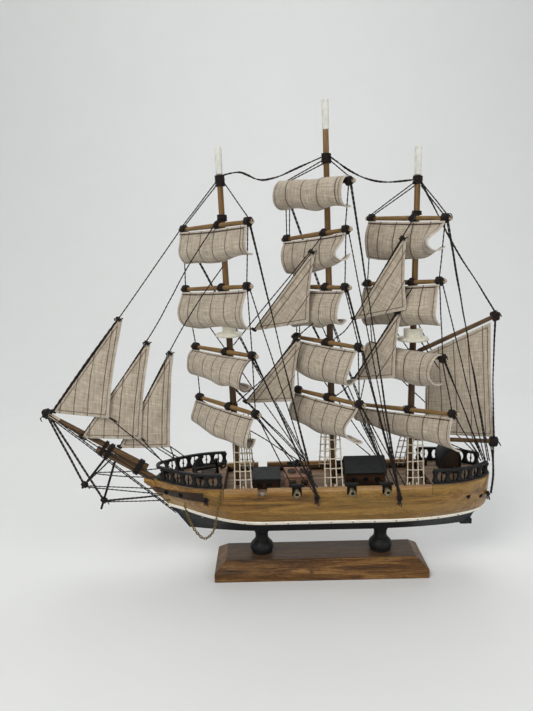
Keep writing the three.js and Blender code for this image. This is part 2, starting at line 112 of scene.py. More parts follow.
# ------------------------------------------------------------------ meshes
def make_mesh(name, points, faces, look, body="root", grain=None, smooth=True, extra=None):
    """A piece from points in millimetres. grain: each point's place in the material, X along its grain."""
    points = np.asarray(points, float)
    data = bpy.data.meshes.new(name)
    data.from_pydata((points * MM).tolist(), [], [list(map(int, f)) for f in faces])
    data.update()
    place = data.attributes.new("place", "FLOAT_VECTOR", "POINT")
    place.data.foreach_set("vector", np.asarray(points if grain is None else grain, np.float32).ravel())
    for key, values in (extra or {}).items():
        data.attributes.new(key, "FLOAT", "POINT").data.foreach_set("value", np.asarray(values, np.float32))
    data.polygons.foreach_set("use_smooth", [smooth] * len(data.polygons))
    data.materials.append(look)
    piece = bpy.data.objects.new(name, data)
    SCENE.collection.objects.link(piece)
    if body:
        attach(piece, body)
    return piece


def bevelled(piece, width, segments=2):
    """Rounds a piece's hard edges, so that they catch the light."""
    bevel = piece.modifiers.new("edges", "BEVEL")
    bevel.width = width * MM
    bevel.segments = segments
    bevel.limit_method = "ANGLE"
    bevel.angle_limit = math.radians(35)
    bevel.harden_normals = True
    for polygon in piece.data.polygons:
        polygon.use_smooth = True
    return piece


def stand_for(piece, node):
    """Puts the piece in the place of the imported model's own node."""
    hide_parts(node)


def facing(shape, outward):
    """The shape as it is, or with its faces turned over where they look inward."""
    points, faces = shape
    return points, faces if outward else [face[::-1] for face in faces]


def grained(name, shape, look, body="root"):
    """A piece from a lathe shape, with the grain along its axis."""
    return make_mesh(name, *shape[:2], LOOK[look], body, shape[2])


def lathed(name, profile, place, look, axis=(0, 0, 1), sides=32):
    """A turned piece, with the grain along X."""
    return make_mesh(name, *turned(profile, place, axis, sides)[:2], LOOK[look])


class Pile:
    """Several closed shapes that end up as one piece."""

    def __init__(self):
        self.points, self.faces, self.grain, self.count = [], [], [], 0

    def add(self, points, faces, grain=None):
        points = np.asarray(points, float)
        self.points.append(points)
        self.grain.append(points if grain is None else np.asarray(grain, float))
        self.faces += [[i + self.count for i in face] for face in faces]
        self.count += len(points)
        return self

    def make(self, name, look, body="root"):
        return make_mesh(name, np.concatenate(self.points), self.faces, LOOK[look], body,
                         np.concatenate(self.grain))


def skin(rings, closed=True, caps=True):
    """Faces over rings of points that all have the same count. Returns (points, faces)."""
    rings = np.asarray(rings, float)
    rows, count = rings.shape[:2]
    faces = []
    for i in range(rows - 1):
        for j in range(count if closed else count - 1):
            a, b = i * count + j, i * count + (j + 1) % count
            faces.append([a, b, b + count, a + count])
    if caps:
        faces.append(list(range(count))[::-1])
        faces.append([(rows - 1) * count + j for j in range(count)])
    return rings.reshape(-1, 3), faces


def box(x0, x1, y0, y1, z0, z1):
    ring = [(x0, y0), (x1, y0), (x1, y1), (x0, y1)]
    return skin([[(x, y, z) for x, y in ring] for z in (z0, z1)])


def turned(profile, place, axis=(0, 0, 1), sides=32):
    """A lathe shape: (radius, height) pairs about an axis through place. Grain runs along the axis."""
    axis = unit(np.array(axis, float))
    across = unit(np.cross(axis, V(0, 1, 0.01) if abs(axis[1]) < 0.9 else V(1, 0, 0)))
    other = np.cross(axis, across)
    turns = np.arange(sides) * 2 * math.pi / sides
    circle = np.cos(turns)[:, None] * across + np.sin(turns)[:, None] * other
    rings = [np.array(place, float) + axis * h + circle * max(r, 0.01) for r, h in profile]
    grain = [[(h, r * math.cos(t), r * math.sin(t)) for t in turns] for r, h in profile]
    points, faces = skin(rings)
    return points, faces, np.array(grain).reshape(-1, 3)


def rod(start, end, radius, end_radius=None, sides=20):
    """A round bar with slightly eased ends."""
    start, end = np.array(start, float), np.array(end, float)
    length = float(np.linalg.norm(end - start))
    last = radius if end_radius is None else end_radius
    ease = min(radius, last) * 0.18
    steps = [(radius - ease, 0), (radius, ease)]
    steps += [(lerp(radius, last, s), length * s) for s in np.linspace(0, 1, 9)[1:-1]]
    steps += [(last, length - ease), (last - ease, length)]
    return turned(steps, start, end - start, sides)


# ------------------------------------------------------------------ thread
THREAD_R = 0.47


def smooth_line(points, step):
    """A curve through the points, with samples about step apart."""
    points = np.asarray(points, float)
    if len(points) == 2:
        count = max(int(np.linalg.norm(points[1] - points[0]) / step), 2)
        return points[0] + np.linspace(0, 1, count + 1)[:, None] * (points[1] - points[0])
    ends = [2 * points[0] - points[1], *points, 2 * points[-1] - points[-2]]
    line = []
    for a, b, c, d in zip(ends, ends[1:], ends[2:], ends[3:]):
        count = max(int(np.linalg.norm(c - b) / step), 2)
        t = np.linspace(0, 1, count, endpoint=False)[:, None]
        line.append(0.5 * (2 * b + (c - a) * t + (2 * a - 5 * b + 4 * c - d) * t ** 2
                           + (3 * b - a - 3 * c + d) * t ** 3))
    return np.concatenate([*line, [points[-1]]])


def strand(points, radius=THREAD_R, step=0.7, sides=8, lay=7.0, wander=0.0):
    """A two-ply twisted thread along the points, as (points, faces, grain)."""
    line = smooth_line(points, step)
    along = lengths_along(line)
    run = np.gradient(line, axis=0)
    run /= np.linalg.norm(run, axis=1)[:, None]
    if wander:
        ease = np.sin(math.pi * along / along[-1])
        line[:, 1] += wander * ease * np.sin(along * 0.21 + line[0, 0])
        line[:, 2] += wander * ease * np.sin(along * 0.13 + line[0, 2] * 0.7)
    normal = np.cross(run[0], V(0.3, 0.5, 0.81))
    rings, grain = [], []
    turns = np.arange(sides) * 2 * math.pi / sides
    for i, p in enumerate(line):
        normal = unit(normal - run[i] * (normal @ run[i]))
        other = np.cross(run[i], normal)
        ply = radius * (0.84 + 0.16 * np.cos(2 * (turns - 2 * math.pi * along[i] / (lay * radius * 2))))
        rings.append(p + (ply * np.cos(turns))[:, None] * normal + (ply * np.sin(turns))[:, None] * other)
        grain.append([(along[i], radius * math.cos(t), radius * math.sin(t)) for t in turns])
    points, faces = skin(rings)
    return points, faces, np.array(grain).reshape(-1, 3)


def thread(name, points, body="root", radius=THREAD_R, wander=0.12, bend=None):
    """One free thread as its own piece. bend: the second body, for a thread that joins two bodies."""
    shape, faces, grain = strand(points, radius, wander=wander)
    piece = make_mesh(name, shape, faces, LOOK["thread"], None if bend else body, grain)
    if bend:
        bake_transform(piece)
    return piece


def whipping(centre, axis, bar_radius, length, thick=0.45, layers=1, tail=0):
    """Points of a thread wound round a bar: there and back for each pair of layers."""
    axis = unit(np.array(axis, float))
    across = unit(np.cross(axis, V(0.2, 0.9, 0.37)))
    other = np.cross(axis, across)
    turns = max(int(length / (thick * 1.7)), 2)
    steps = np.arange(turns * 10 + 1) / 10
    line = []
    for layer in range(layers):
        shift = steps / turns if layer % 2 == 0 else 1 - steps / turns
        radius = bar_radius + thick * (0.9 + 1.5 * layer)
        wobble = 0.12 * np.sin(steps * 2.3 + layer)
        angle = steps * 2 * math.pi + layer * 0.4
        line.append(np.array(centre) + ((shift - 0.5) * length + wobble)[:, None] * axis
                    + radius * (np.cos(angle)[:, None] * across + np.sin(angle)[:, None] * other))
    line = np.concatenate(line)
    if tail:
        loose = line[-1] + (line[-1] - line[-4]) * 0.4
        line = np.concatenate([line, [loose, loose + V(tail * 0.5, -tail * 0.2, -tail)]])
    return line


# ------------------------------------------------------------------ materials
LOOK = {}


class Look:
    """A material under construction. Every surface reads the point attribute 'place', in millimetres."""

    def __init__(self, name):
        self.material = bpy.data.materials.new(name)
        self.material.use_nodes = True
        self.tree = self.material.node_tree
        self.shader = self.tree.nodes["Principled BSDF"]
        self.place = self.node("ShaderNodeAttribute", {"attribute_name": "place"}).outputs["Vector"]
        LOOK[name] = self.material

    def set(self, node, inputs):
        for key, value in inputs.items():
            if isinstance(value, bpy.types.NodeSocket):
                self.tree.links.new(value, node.inputs[key])
            else:
                node.inputs[key].default_value = value
        return node

    def node(self, kind, settings=None, inputs=None):
        made = self.tree.nodes.new(kind)
        for key, value in (settings or {}).items():
            setattr(made, key, value)
        return self.set(made, inputs or {})

    def value(self, attribute):
        return self.node("ShaderNodeAttribute", {"attribute_name": attribute}).outputs["Fac"]

    def stretched(self, x, y, z):
        return self.node("ShaderNodeVectorMath", {"operation": "MULTIPLY"},
                         {0: self.place, 1: (x, y, z)}).outputs[0]

    def noise(self, scale, stretch=(1, 1, 1), detail=4.0, rough=0.55, distortion=0.0):
        return self.node("ShaderNodeTexNoise", None, {
            "Vector": self.stretched(*stretch), "Scale": scale, "Detail": detail,
            "Roughness": rough, "Distortion": distortion}).outputs["Fac"]

    def ramp(self, factor, *stops):
        made = self.node("ShaderNodeValToRGB", None, {0: factor})
        steps = made.color_ramp.elements
        while len(steps) < len(stops):
            steps.new(0.5)
        for step, (position, colour) in zip(steps, stops):
            step.position = position
            step.color = (*colour, 1) if isinstance(colour, tuple) else (colour, colour, colour, 1)
        return made.outputs["Color"]

    def mix(self, factor, a, b, blend="MIX"):
        values = {0: factor}
        for key, value in ((6, a), (7, b)):
            values[key] = (*value, 1) if isinstance(value, tuple) else value
        return self.node("ShaderNodeMix", {"data_type": "RGBA", "blend_type": blend}, values).outputs[2]

    def math(self, operation, a, b=0.0):
        return self.node("ShaderNodeMath", {"operation": operation}, {0: a, 1: b}).outputs[0]

    def total(self, a, share_a, b, share_b):
        return self.math("ADD", self.math("MULTIPLY", a, share_a), self.math("MULTIPLY", b, share_b))

    def axis(self, index):
        return self.node("ShaderNodeSeparateXYZ", None, {0: self.place}).outputs[index]

    def band(self, value, low, high, soft):
        """1 between low and high and 0 outside, with soft edges."""
        up, down = (self.node("ShaderNodeMapRange", {"interpolation_type": "SMOOTHSTEP"},
                              {0: value, 1: zero, 2: one}).outputs[0]
                    for zero, one in ((low - soft, low + soft), (high + soft, high - soft)))
        return self.math("MULTIPLY", up, down)

    def finish(self, colour, roughness, height=None, relief=0.05, **others):
        """relief: the height in millimetres that a change of 1 in height stands for."""
        inputs = {"Base Color": colour, "Roughness": roughness}
        inputs.update({key.replace("_", " "): value for key, value in others.items()})
        if height is not None:
            inputs["Normal"] = self.node("ShaderNodeBump", None, {
                "Strength": 1.0, "Distance": relief * MM, "Height": height}).outputs[0]
        self.set(self.shader, inputs)


def wood(name, dark, mid, light, figure=1.0, gloss=0.35, coat=0.3, dye=None, streaks=0.6):
    """Grain along X: broad figure, fine lines and pores under a coat of varnish."""
    look = Look(name)
    broad = look.noise(0.16, (0.14 * figure, 1, 1), 5, 0.6, 1.2)
    fine = look.noise(1.3, (0.05, 1, 1), 6, 0.65)
    pores = look.noise(3.1, (0.08, 1, 1), 2, 0.5)
    colour = look.ramp(look.total(broad, 0.6, fine, 0.4),
                       (0.36, dark), (0.5, mid), (0.64, light))
    speck = look.ramp(pores, (0.34, 0.4), (0.47, 1.0))
    colour = look.mix(streaks, colour, speck, "MULTIPLY")
    if dye:
        colour = dye(look, colour)
    rough = look.ramp(look.noise(0.6, (0.3, 1, 1)), (0.3, gloss - 0.06), (0.7, gloss + 0.12))
    height = look.total(fine, 0.6, pores, 0.4)
    look.finish(colour, rough, height, 0.05, Coat_Weight=coat, Coat_Roughness=0.22, Specular_IOR_Level=0.24)


def hull_dye(look, colour):
    """The dark scribbled figure of the hull's veneer, kept to the middle of the hull's length, and paler sap streaks.
    """
    warped = look.noise(0.3, (0.32, 1, 1.5), 6, 0.66, 2.6)
    line = look.ramp(warped, (0.44, 0.0), (0.475, 1.0), (0.5, 1.0), (0.535, 0.0))
    cluster = look.ramp(look.noise(0.045, (0.4, 1, 1), 3), (0.4, 0.15), (0.62, 1.0))
    patch = look.band(look.axis(0), -56, 84, 26)
    share = look.math("MULTIPLY", look.math("MULTIPLY", line, patch), cluster)
    colour = look.mix(look.math("MULTIPLY", share, 0.85), colour, (0.045, 0.02, 0.006))
    sap = look.ramp(look.noise(0.05, (0.25, 1, 1.5), 3), (0.42, 0.0), (0.62, 1.0))
    return look.mix(look.math("MULTIPLY", sap, 0.3), colour, (0.42, 0.27, 0.075))


def base_knot_and_painted_shade(look, colour):
    """A knot in the front edge, and the top face painted darker as the shade that the hull casts on it."""
    away = look.node("ShaderNodeVectorMath", {"operation": "DISTANCE"},
                     {0: look.stretched(1, 1, 1), 1: (-7.5, -21, 7)}).outputs["Value"]
    knot = look.ramp(look.math("DIVIDE", look.math("ADD", away, look.noise(0.9)), 4.5), (0.28, 1.0),
                     (0.62, 0.0))
    colour = look.mix(look.math("MULTIPLY", knot, 0.8), colour, (0.03, 0.014, 0.007))
    # Painted shade: the top face is darkened for the shadow of the hull above it.
    top = look.band(look.axis(2), 12.9, 14, 0.1)
    return look.mix(look.math("MULTIPLY", top, 0.72), colour, (0.062, 0.042, 0.03))


def mast_dye(look, colour):
    """Masts are stained darker from the second yard down."""
    low = look.band(look.axis(0), -30, 148, 14)
    return look.mix(look.math("MULTIPLY", low, 0.72), colour, (0.035, 0.015, 0.008))


def painted(name, colour, worn, gloss=0.4, wear=0.5, relief=0.06):
    """Brushed paint on wood: faint brush lines, dust, and wear where the wood shows."""
    look = Look(name)
    brush = look.noise(1.6, (0.15, 1, 1), 5, 0.6)
    patches = look.noise(0.5, detail=6, rough=0.7)
    rub = look.ramp(patches, (0.62, 0.0), (0.78, wear))
    shade = look.mix(look.ramp(brush, (0.3, 0.0), (0.75, 1.0)), colour,
                     tuple(c * 1.7 + 0.004 for c in colour))
    rough = look.ramp(patches, (0.3, gloss - 0.1), (0.7, gloss + 0.18))
    look.finish(look.mix(rub, shade, worn), rough, look.math("ADD", brush, patches), relief,
                Specular_IOR_Level=0.2)


def deck_planks(name):
    """Narrow grey-brown planks with dark seams, running fore and aft."""
    look = Look(name)
    across = look.axis(1)
    seam = look.math("ABSOLUTE",
                     look.math("SUBTRACT", look.math("FRACT", look.math("MULTIPLY", across, 0.4)), 0.5))
    number = look.math("FLOOR", look.math("MULTIPLY", across, 0.4))
    tint = look.node("ShaderNodeTexWhiteNoise", {"noise_dimensions": "1D"}, {"W": number}).outputs["Value"]
    grain = look.noise(1.5, (0.06, 1, 1), 6, 0.65)
    colour = look.ramp(look.total(grain, 0.7, tint, 0.3),
                       (0.3, (0.1, 0.062, 0.036)), (0.55, (0.21, 0.14, 0.085)), (0.75, (0.3, 0.21, 0.135)))
    gap = look.ramp(seam, (0.455, 0.0), (0.49, 1.0))
    colour = look.mix(gap, colour, (0.02, 0.013, 0.009))
    height = look.math("SUBTRACT", look.math("MULTIPLY", grain, 0.3), gap)
    look.finish(colour, look.ramp(grain, (0.3, 0.5), (0.7, 0.72)), height, 0.12)


def waxed_thread(name, dark, light, rough=0.5):
    """Fibres that follow the twist, with a dull wax shine."""
    look = Look(name)
    fibre = look.noise(4.5, (0.5, 1, 1), 3, 0.7)
    dust = look.noise(0.25, detail=3)
    colour = look.ramp(look.total(fibre, 0.6, dust, 0.4),
                       (0.35, dark), (0.65, light))
    look.finish(colour, look.ramp(dust, (0.3, rough - 0.08), (0.7, rough + 0.2)), fibre, 0.05,
                Specular_IOR_Level=0.3)


def sailcloth(name):
    """Coarse linen weave with brown woven stripes, darker stitching by the hems and pale hem edges."""
    look = Look(name)
    yarns = {"Vector": look.place, "Scale": 0.95, "Distortion": 0.5, "Detail": 2.0, "Detail Scale": 1.6}
    warp, weft = (look.node("ShaderNodeTexWave", {"bands_direction": way},
                            yarns).outputs["Fac"] for way in "XY")
    slub = look.noise(0.9, (1, 0.12, 1), 3)
    cross_slub = look.noise(0.9, (0.12, 1, 1), 3)
    weave = look.math("MULTIPLY", warp, weft)
    cloudy = look.noise(0.07, detail=4)
    yarn = look.total(slub, 0.5, cross_slub, 0.5)
    colour = look.ramp(yarn, (0.36, (0.42, 0.345, 0.25)), (0.5, (0.64, 0.55, 0.43)),
                       (0.64, (0.86, 0.78, 0.65)))
    colour = look.mix(look.ramp(weave, (0.1, 0.36), (0.6, 0.0)), colour, (0.22, 0.165, 0.11))
    colour = look.mix(look.ramp(cloudy, (0.35, 0.26), (0.62, 0.0)), colour, (0.36, 0.285, 0.21))
    wander = look.math("MULTIPLY", look.math("SUBTRACT", look.noise(0.16, (0.3, 1, 1), 3), 0.5), 0.9)
    turn = look.math("FRACT", look.math("ADD", look.value("stripe"), 0.5))
    off = look.math("MULTIPLY", look.math("SUBTRACT", turn, 0.5), 11.0)
    stripe = look.math("ABSOLUTE", look.math("ADD", off, wander))
    line = look.ramp(look.math("ADD", stripe, look.math("MULTIPLY", weft, 0.12)), (0.3, 0.9), (0.56, 0.0))
    hem = look.value("hem")
    seam = look.math("ABSOLUTE", look.math("SUBTRACT", hem, 2.3))
    stitch = look.ramp(look.math("ADD", seam, look.math("MULTIPLY", slub, 0.15)), (0.22, 0.85), (0.52, 0.0))
    fray = look.ramp(look.math("ADD", hem, look.math("MULTIPLY", yarn, 0.5)), (0.6, 0.55), (1.3, 0.0))
    colour = look.mix(fray, colour, (0.74, 0.69, 0.61))
    colour = look.mix(line, colour, (0.085, 0.048, 0.032))
    colour = look.mix(stitch, colour, (0.085, 0.05, 0.035))
    height = look.total(weave, 0.6, yarn, 0.8)
    height = look.math("SUBTRACT", height, look.math("MULTIPLY", stitch, 0.6))
    look.finish(colour, 0.92, height, 0.16, Sheen_Weight=0.25, Sheen_Roughness=0.5)
    glow = look.node("ShaderNodeBsdfTranslucent", None, {"Color": look.mix(0.5, colour, (0.5, 0.4, 0.28))})
    both = look.node("ShaderNodeMixShader", None, {0: 0.13, 1: look.shader.outputs[0], 2: glow.outputs[0]})
    look.tree.links.new(both.outputs[0], look.tree.nodes["Material Output"].inputs[0])


def metal(name, colour, tarnish, gloss, shine=1.0):
    """Cast metal with tarnish in patches and small pits."""
    look = Look(name)
    patches = look.noise(0.7, detail=6, rough=0.7)
    pits = look.noise(4.0, detail=2)
    stain = look.ramp(patches, (0.4, 0.0), (0.64, 0.85))
    rough = look.ramp(patches, (0.35, gloss), (0.7, gloss + 0.3))
    look.finish(look.mix(stain, colour, tarnish), rough, look.math("ADD", patches, pits), 0.08,
                Metallic=shine)


def plain_backdrop():
    """Pale matt paper, a little uneven."""
    look = Look("backdrop")
    dust = look.noise(0.012, detail=5, rough=0.6)
    colour = look.ramp(dust, (0.3, (0.7, 0.708, 0.706)), (0.7, (0.715, 0.722, 0.72)))
    look.finish(colour, look.ramp(look.noise(0.05), (0.3, 0.5), (0.7, 0.62)))


def make_looks():
    wood("hull_wood", (0.055, 0.024, 0.004), (0.235, 0.112, 0.018), (0.41, 0.225, 0.05), 0.5, 0.36, 0.2,
         hull_dye, 0.7)
    wood("base_wood", (0.016, 0.006, 0.002), (0.12, 0.052, 0.012), (0.3, 0.155, 0.046), 0.6, 0.44, 0.1,
         base_knot_and_painted_shade, 0.95)
    wood("mast_wood", (0.065, 0.031, 0.01), (0.15, 0.08, 0.026), (0.26, 0.15, 0.055), 0.5, 0.48, 0.08,
         mast_dye)
    wood("spar_wood", (0.026, 0.013, 0.006), (0.1, 0.054, 0.02), (0.23, 0.138, 0.056), 0.5, 0.48, 0.08, None,
         0.85)
    wood("yard_wood", (0.1, 0.054, 0.018), (0.22, 0.128, 0.045), (0.35, 0.22, 0.092), 0.5, 0.48, 0.06)
    wood("bare_wood", (0.34, 0.26, 0.18), (0.5, 0.41, 0.3), (0.64, 0.54, 0.41), 0.5, 0.6, 0.0)
    wood("cap_wood", (0.16, 0.078, 0.026), (0.31, 0.17, 0.062), (0.45, 0.28, 0.12), 0.5, 0.38, 0.25)
    wood("wall_wood", (0.01, 0.0045, 0.002), (0.032, 0.0145, 0.0065), (0.066, 0.033, 0.016), 0.6, 0.5, 0.04)
    wood("hatch_wood", (0.16, 0.083, 0.05), (0.27, 0.15, 0.098), (0.38, 0.235, 0.165), 0.6, 0.55, 0.0)
    painted("black_paint", (0.0055, 0.005, 0.005), (0.035, 0.02, 0.013), 0.46)
    painted("keel_paint", (0.008, 0.0085, 0.0105), (0.035, 0.032, 0.032), 0.46, 0.3)
    painted("roof_paint", (0.0095, 0.0102, 0.0112), (0.035, 0.032, 0.03), 0.52, 0.3)
    painted("rail_paint", (0.0075, 0.0075, 0.008), (0.08, 0.07, 0.06), 0.42, 0.5)
    painted("strip_paint", (0.7, 0.66, 0.58), (0.42, 0.35, 0.25), 0.45, 0.25, 0.03)
    painted("drum_paint", (0.5, 0.48, 0.4), (0.34, 0.31, 0.23), 0.55, 0.3, 0.03)
    painted("old_glue", (0.2, 0.17, 0.13), (0.09, 0.07, 0.05), 0.5, 0.4, 0.05)
    painted("white_tape", (0.5, 0.5, 0.46), (0.34, 0.33, 0.28), 0.6, 0.5, 0.04)
    deck_planks("deck_planks")
    waxed_thread("thread", (0.0035, 0.002, 0.0018), (0.02, 0.011, 0.009), 0.55)
    waxed_thread("cream_thread", (0.36, 0.3, 0.22), (0.68, 0.61, 0.5), 0.8)
    sailcloth("sailcloth")
    metal("iron", (0.03, 0.028, 0.026), (0.012, 0.01, 0.009), 0.36)
    metal("brass", (0.34, 0.25, 0.1), (0.07, 0.055, 0.03), 0.32)
    metal("gun_brass", (0.3, 0.255, 0.16), (0.06, 0.055, 0.04), 0.38)
    metal("steel", (0.36, 0.35, 0.33), (0.12, 0.1, 0.08), 0.36)
    plain_backdrop()


# ------------------------------------------------------------------ the ship's measures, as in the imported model
KEEL_Z, DECK_Z, RAISED_Z = 33.5, 66.0, 72.5
HALF_BEAM, STRIP_HALF = 27.0, 1.6
FORECASTLE_X, POOP_X = -68.0, 76.0
STEM, STERN, PLANK = -123.5, 123.2, 0.3
PORTS = (-41, -17.3, 20.4, 44.6)
PORT_HALF, SILL_Z, BULWARK_TOP, WALL = 3.3, 67.3, 72.8, 2.2
MASTS = {
    "fore": (V(-59, 0, DECK_Z), V(-65, 0, 301.4)),
    "main": (V(10.4, 0, DECK_Z), V(6.2, 0, 329.8)),
    "mizzen": (V(65.8, 0, DECK_Z), V(68, 0, 298.9)),
}
MAST_R, MAST_HEAD_R, YARD_R, YARD_TIP_R = 2.5, 1.9, 1.7, 1.3
YARD_FROM_MAST = MAST_R + YARD_R + 0.4
BRACE = math.radians(42)
# height, starboard arm, port arm, tilt in degrees
YARDS = {
    "fore": ((251.1, 39.4, 32.8, 2.3), (209.4, 41.9, 29.1, 3.2), (165.1, 35.3, 30.4, -1.2),
             (125.9, 34.8, 30.5, -3.6)),
    "main": ((277.3, 36.3, 25.4, -1.7), (244.3, 37, 22.5, 5.2), (208.1, 30.5, 21.2, 0.5),
             (170.2, 30.7, 31.2, -3.1), (130.9, 30.9, 31.3, -3)),
    "mizzen": ((252.8, 36.8, 27.6, -2.5), (210.1, 39.4, 25.2, 3), (161.4, 34.9, 29.4, -3.6),
               (120.4, 44.5, 37.9, 3.6)),
}


def table_value(points, at):
    return float(np.interp(at, [p[0] for p in points], [p[1] for p in points]))


def stem_x(z):
    return table_value([(33.5, -96), (44.5, -104.2), (54.9, -113.2), (65.3, -123.5), (72.5, -123.5)], z)


def stern_x(z):
    return table_value([(33.5, 110), (40, 113.5), (47, 121.3), (52, 123.2), (72.5, 123.2)], z)


def half_breadth(x, z):
    t = min(max((z - KEEL_Z) / (RAISED_Z - KEEL_Z), 0), 1)
    side = 0.36 + 0.64 * (1 - (1 - t) ** 2.3)
    shoulder, quarter, plan = lerp(-35, -69, t), lerp(30, 77, t), 1
    if x < shoulder:
        plan = 1 - min((shoulder - x) / (shoulder - stem_x(z)), 1) ** lerp(1.7, 2.1, t)
    if x > quarter:
        plan = (1 - min((x - quarter) / (stern_x(z) - quarter), 1) ** 2.1) ** lerp(0.8, 0.5, t)
    return max(HALF_BEAM * side * plan, 0.6)


def strip_z(x):
    return 43.6 + 8 * min(max((-50 - x) / 60, 0), 1) ** 2


def on_side(x, z, sign=-1, out=0.0):
    """A point of the hull's skin; sign is -1 to port."""
    return V(x, sign * (half_breadth(x, z) + out), z)


def on_mast(mast, z, dx=0.0, dy=0.0):
    foot, head = MASTS[mast]
    return lerp(foot, head, (z - foot[2]) / (head[2] - foot[2])) + V(dx, dy, 0)


def mast_radius(mast, z):
    foot, head = MASTS[mast]
    return lerp(MAST_R, MAST_HEAD_R, (z - foot[2]) / (head[2] - foot[2]))


class Yard:
    """A yard and its own axes: along to the port end, ahead towards the bow, and up."""

    def __init__(self, mast, number):
        height, self.starboard, self.port, tilt = YARDS[mast][number - 1]
        t = math.radians(tilt)
        self.number, self.body = number, mast + "_yards"
        self.along = V(math.cos(t) * math.cos(BRACE), -math.cos(t) * math.sin(BRACE), math.sin(t))
        self.ahead = V(-math.sin(BRACE), -math.cos(BRACE), 0)
        self.up = np.cross(self.ahead, self.along)
        if self.up[2] < 0:
            self.up = -self.up
        self.centre = on_mast(mast, height) + self.ahead * YARD_FROM_MAST

    def at(self, along, ahead=0.0, up=0.0):
        return self.centre + along * self.along + ahead * self.ahead + up * self.up

    def end(self, side, inset=3.4, ahead=0.0, up=0.0):
        arm = self.port if side == "port" else -self.starboard
        return self.at(arm - math.copysign(inset, arm), ahead, up)


def yards_of(mast):
    return [Yard(mast, n + 1) for n in range(len(YARDS[mast]))]


# ------------------------------------------------------------------ rigging
def tie(name, start, end, body, bend=None, sag=0.0, wander=0.1):
    """A thread drawn between two points, straight but for a small sag."""
    points = [start, lerp(start, end, 0.5) - V(0, 0, sag), end] if sag else [start, end]
    thread(name, points, body, wander=wander, bend=bend)


def oval_winding(centre, axis, up, wide, tall, length, thick=0.5):
    """Points of a thread wound round two bars that lie one above the other."""
    across = unit(np.cross(axis, up))
    turns = max(int(length / (thick * 1.6)), 2)
    angle = np.arange(turns * 20 + 1) * 2 * math.pi / 20
    shift = (angle / angle[-1] - 0.5) * length
    side, rise = np.sign(np.cos(angle)) * np.abs(np.cos(angle)) ** 0.6, np.sin(angle)
    return (np.array(centre) + shift[:, None] * axis + (wide * side)[:, None] * across
            + (tall * rise)[:, None] * up)


def lashings(name, turns, body):
    """Thread windings that ride on one body, as one piece."""
    pile = Pile()
    for turn in turns:
        pile.add(*strand(turn, THREAD_R, 0.55, 6))
    return pile.make(name, "thread", body)


def slack_ropes():
    """The doubled threads that hang slack between the mast heads."""
    routes = {
        "fore_to_main": [(-62.9, -2.4, 283.5), (-57, -2.6, 284.8), (-50.8, -2, 285.3), (-45.5, -1.2, 283.4),
                         (-40.9, -1, 281.2), (-36.5, -0.6, 280.3), (-32.2, -0.8, 280.6), (-24.5, -1, 282.4),
                         (-17.4, -1.6, 285.2), (-10, -2, 288.2), (-3, -2.5, 291), (3.4, -2.9, 293.6)],
        "main_to_mizzen": [(8.9, -2.6, 294), (13.5, -3, 290.6), (18, -3, 287.2), (22.6, -2.6, 284.3),
                           (29.3, -2, 280.9), (36, -1.5, 278.6), (42, -1.2, 277.4), (48, -1, 276.9),
                           (54, -1.4, 277), (60, -1.8, 277.4), (65.2, -2.4, 278)],
    }
    for name, route in routes.items():
        for ply, (lift, shift) in enumerate(((0.3, -0.4), (-0.45, 0.5))):
            line = [V(x, y + shift * math.cos(i * 1.4 + ply),
                      z + lift * math.cos(i * 1.1)) if 0 < i < len(route) - 1
                    else V(x, y + shift, z) for i, (x, y, z) in enumerate(route)]
            piece = thread(f"top_rope_{name}_{ply + 1}", line, wander=0)


BOOM_TIP = V(-195.2, 0, 122.6)
STRIKER_LONG = V(-171.9, 0, 67.5)
STRIKER_SHORT = V(-158.5, 0, 55.2)
PORT_NAILS = {"fore": V(-3.7, -27.9, 66), "main": V(53, -27.9, 64.2)}
STERN_NAIL = V(122.6, -8, 57.3)
GAFF_JAW, GAFF_PEAK = V(70.6, 0, 161.6), V(127, 0, 186.8)
BOOM_JAW, BOOM_END = V(69.6, 0, 97.9), V(129.6, 0, 94.1)


def stays():
    """The three stays from the fore mast to the jib boom and bowsprit, and the four between the masts."""
    yard = Yard("fore", 1)
    thread("stay_outer", [yard.end("starboard", 3, 2), V(-137.6, 0.4, 190.6), V(-190.4, 0.4, 123.6)],
           yard.body,
           wander=0, bend="root")
    thread("stay_middle", [on_mast("fore", 256.5, -1, -8.5), V(-88.4, -2, 223.9), V(-101.9, 0, 201.7),
                           V(-119.6, 0.4, 173.6), V(-170.1, 0, 103.8)], wander=0)
    thread("stay_inner", [on_mast("fore", 224, -1, -6), V(-83.3, -2, 198.4), V(-103.6, 0.3, 166.4),
                          V(-143.8, 0, 95)], wander=0)
    thread("stay_main_upper", [on_mast("fore", 169.1, 2.6, -1), V(-45.1, -2, 185.6), V(-3.2, -8.5, 234.8),
                               on_mast("main", 243, -5, -8)], wander=0)
    thread("stay_main_lower", [on_mast("fore", 128, 2.6, -1.5), V(-36, -3.6, 148), V(-13.9, -5, 174.8),
                               on_mast("main", 190, -2.4, -2)], wander=0)
    thread("stay_mizzen_upper", [on_mast("main", 171.5, 2.6, -1), V(24.1, -3, 184.8), V(56.9, -11, 242.4),
                                 on_mast("mizzen", 255, -2, -9)], wander=0)
    thread("stay_mizzen_lower", [on_mast("main", 130.5, 2.6, -2), V(24.5, -3, 143.4), V(54.5, -10, 193.2),
                                 on_mast("mizzen", 207, -3, -8)], wander=0)


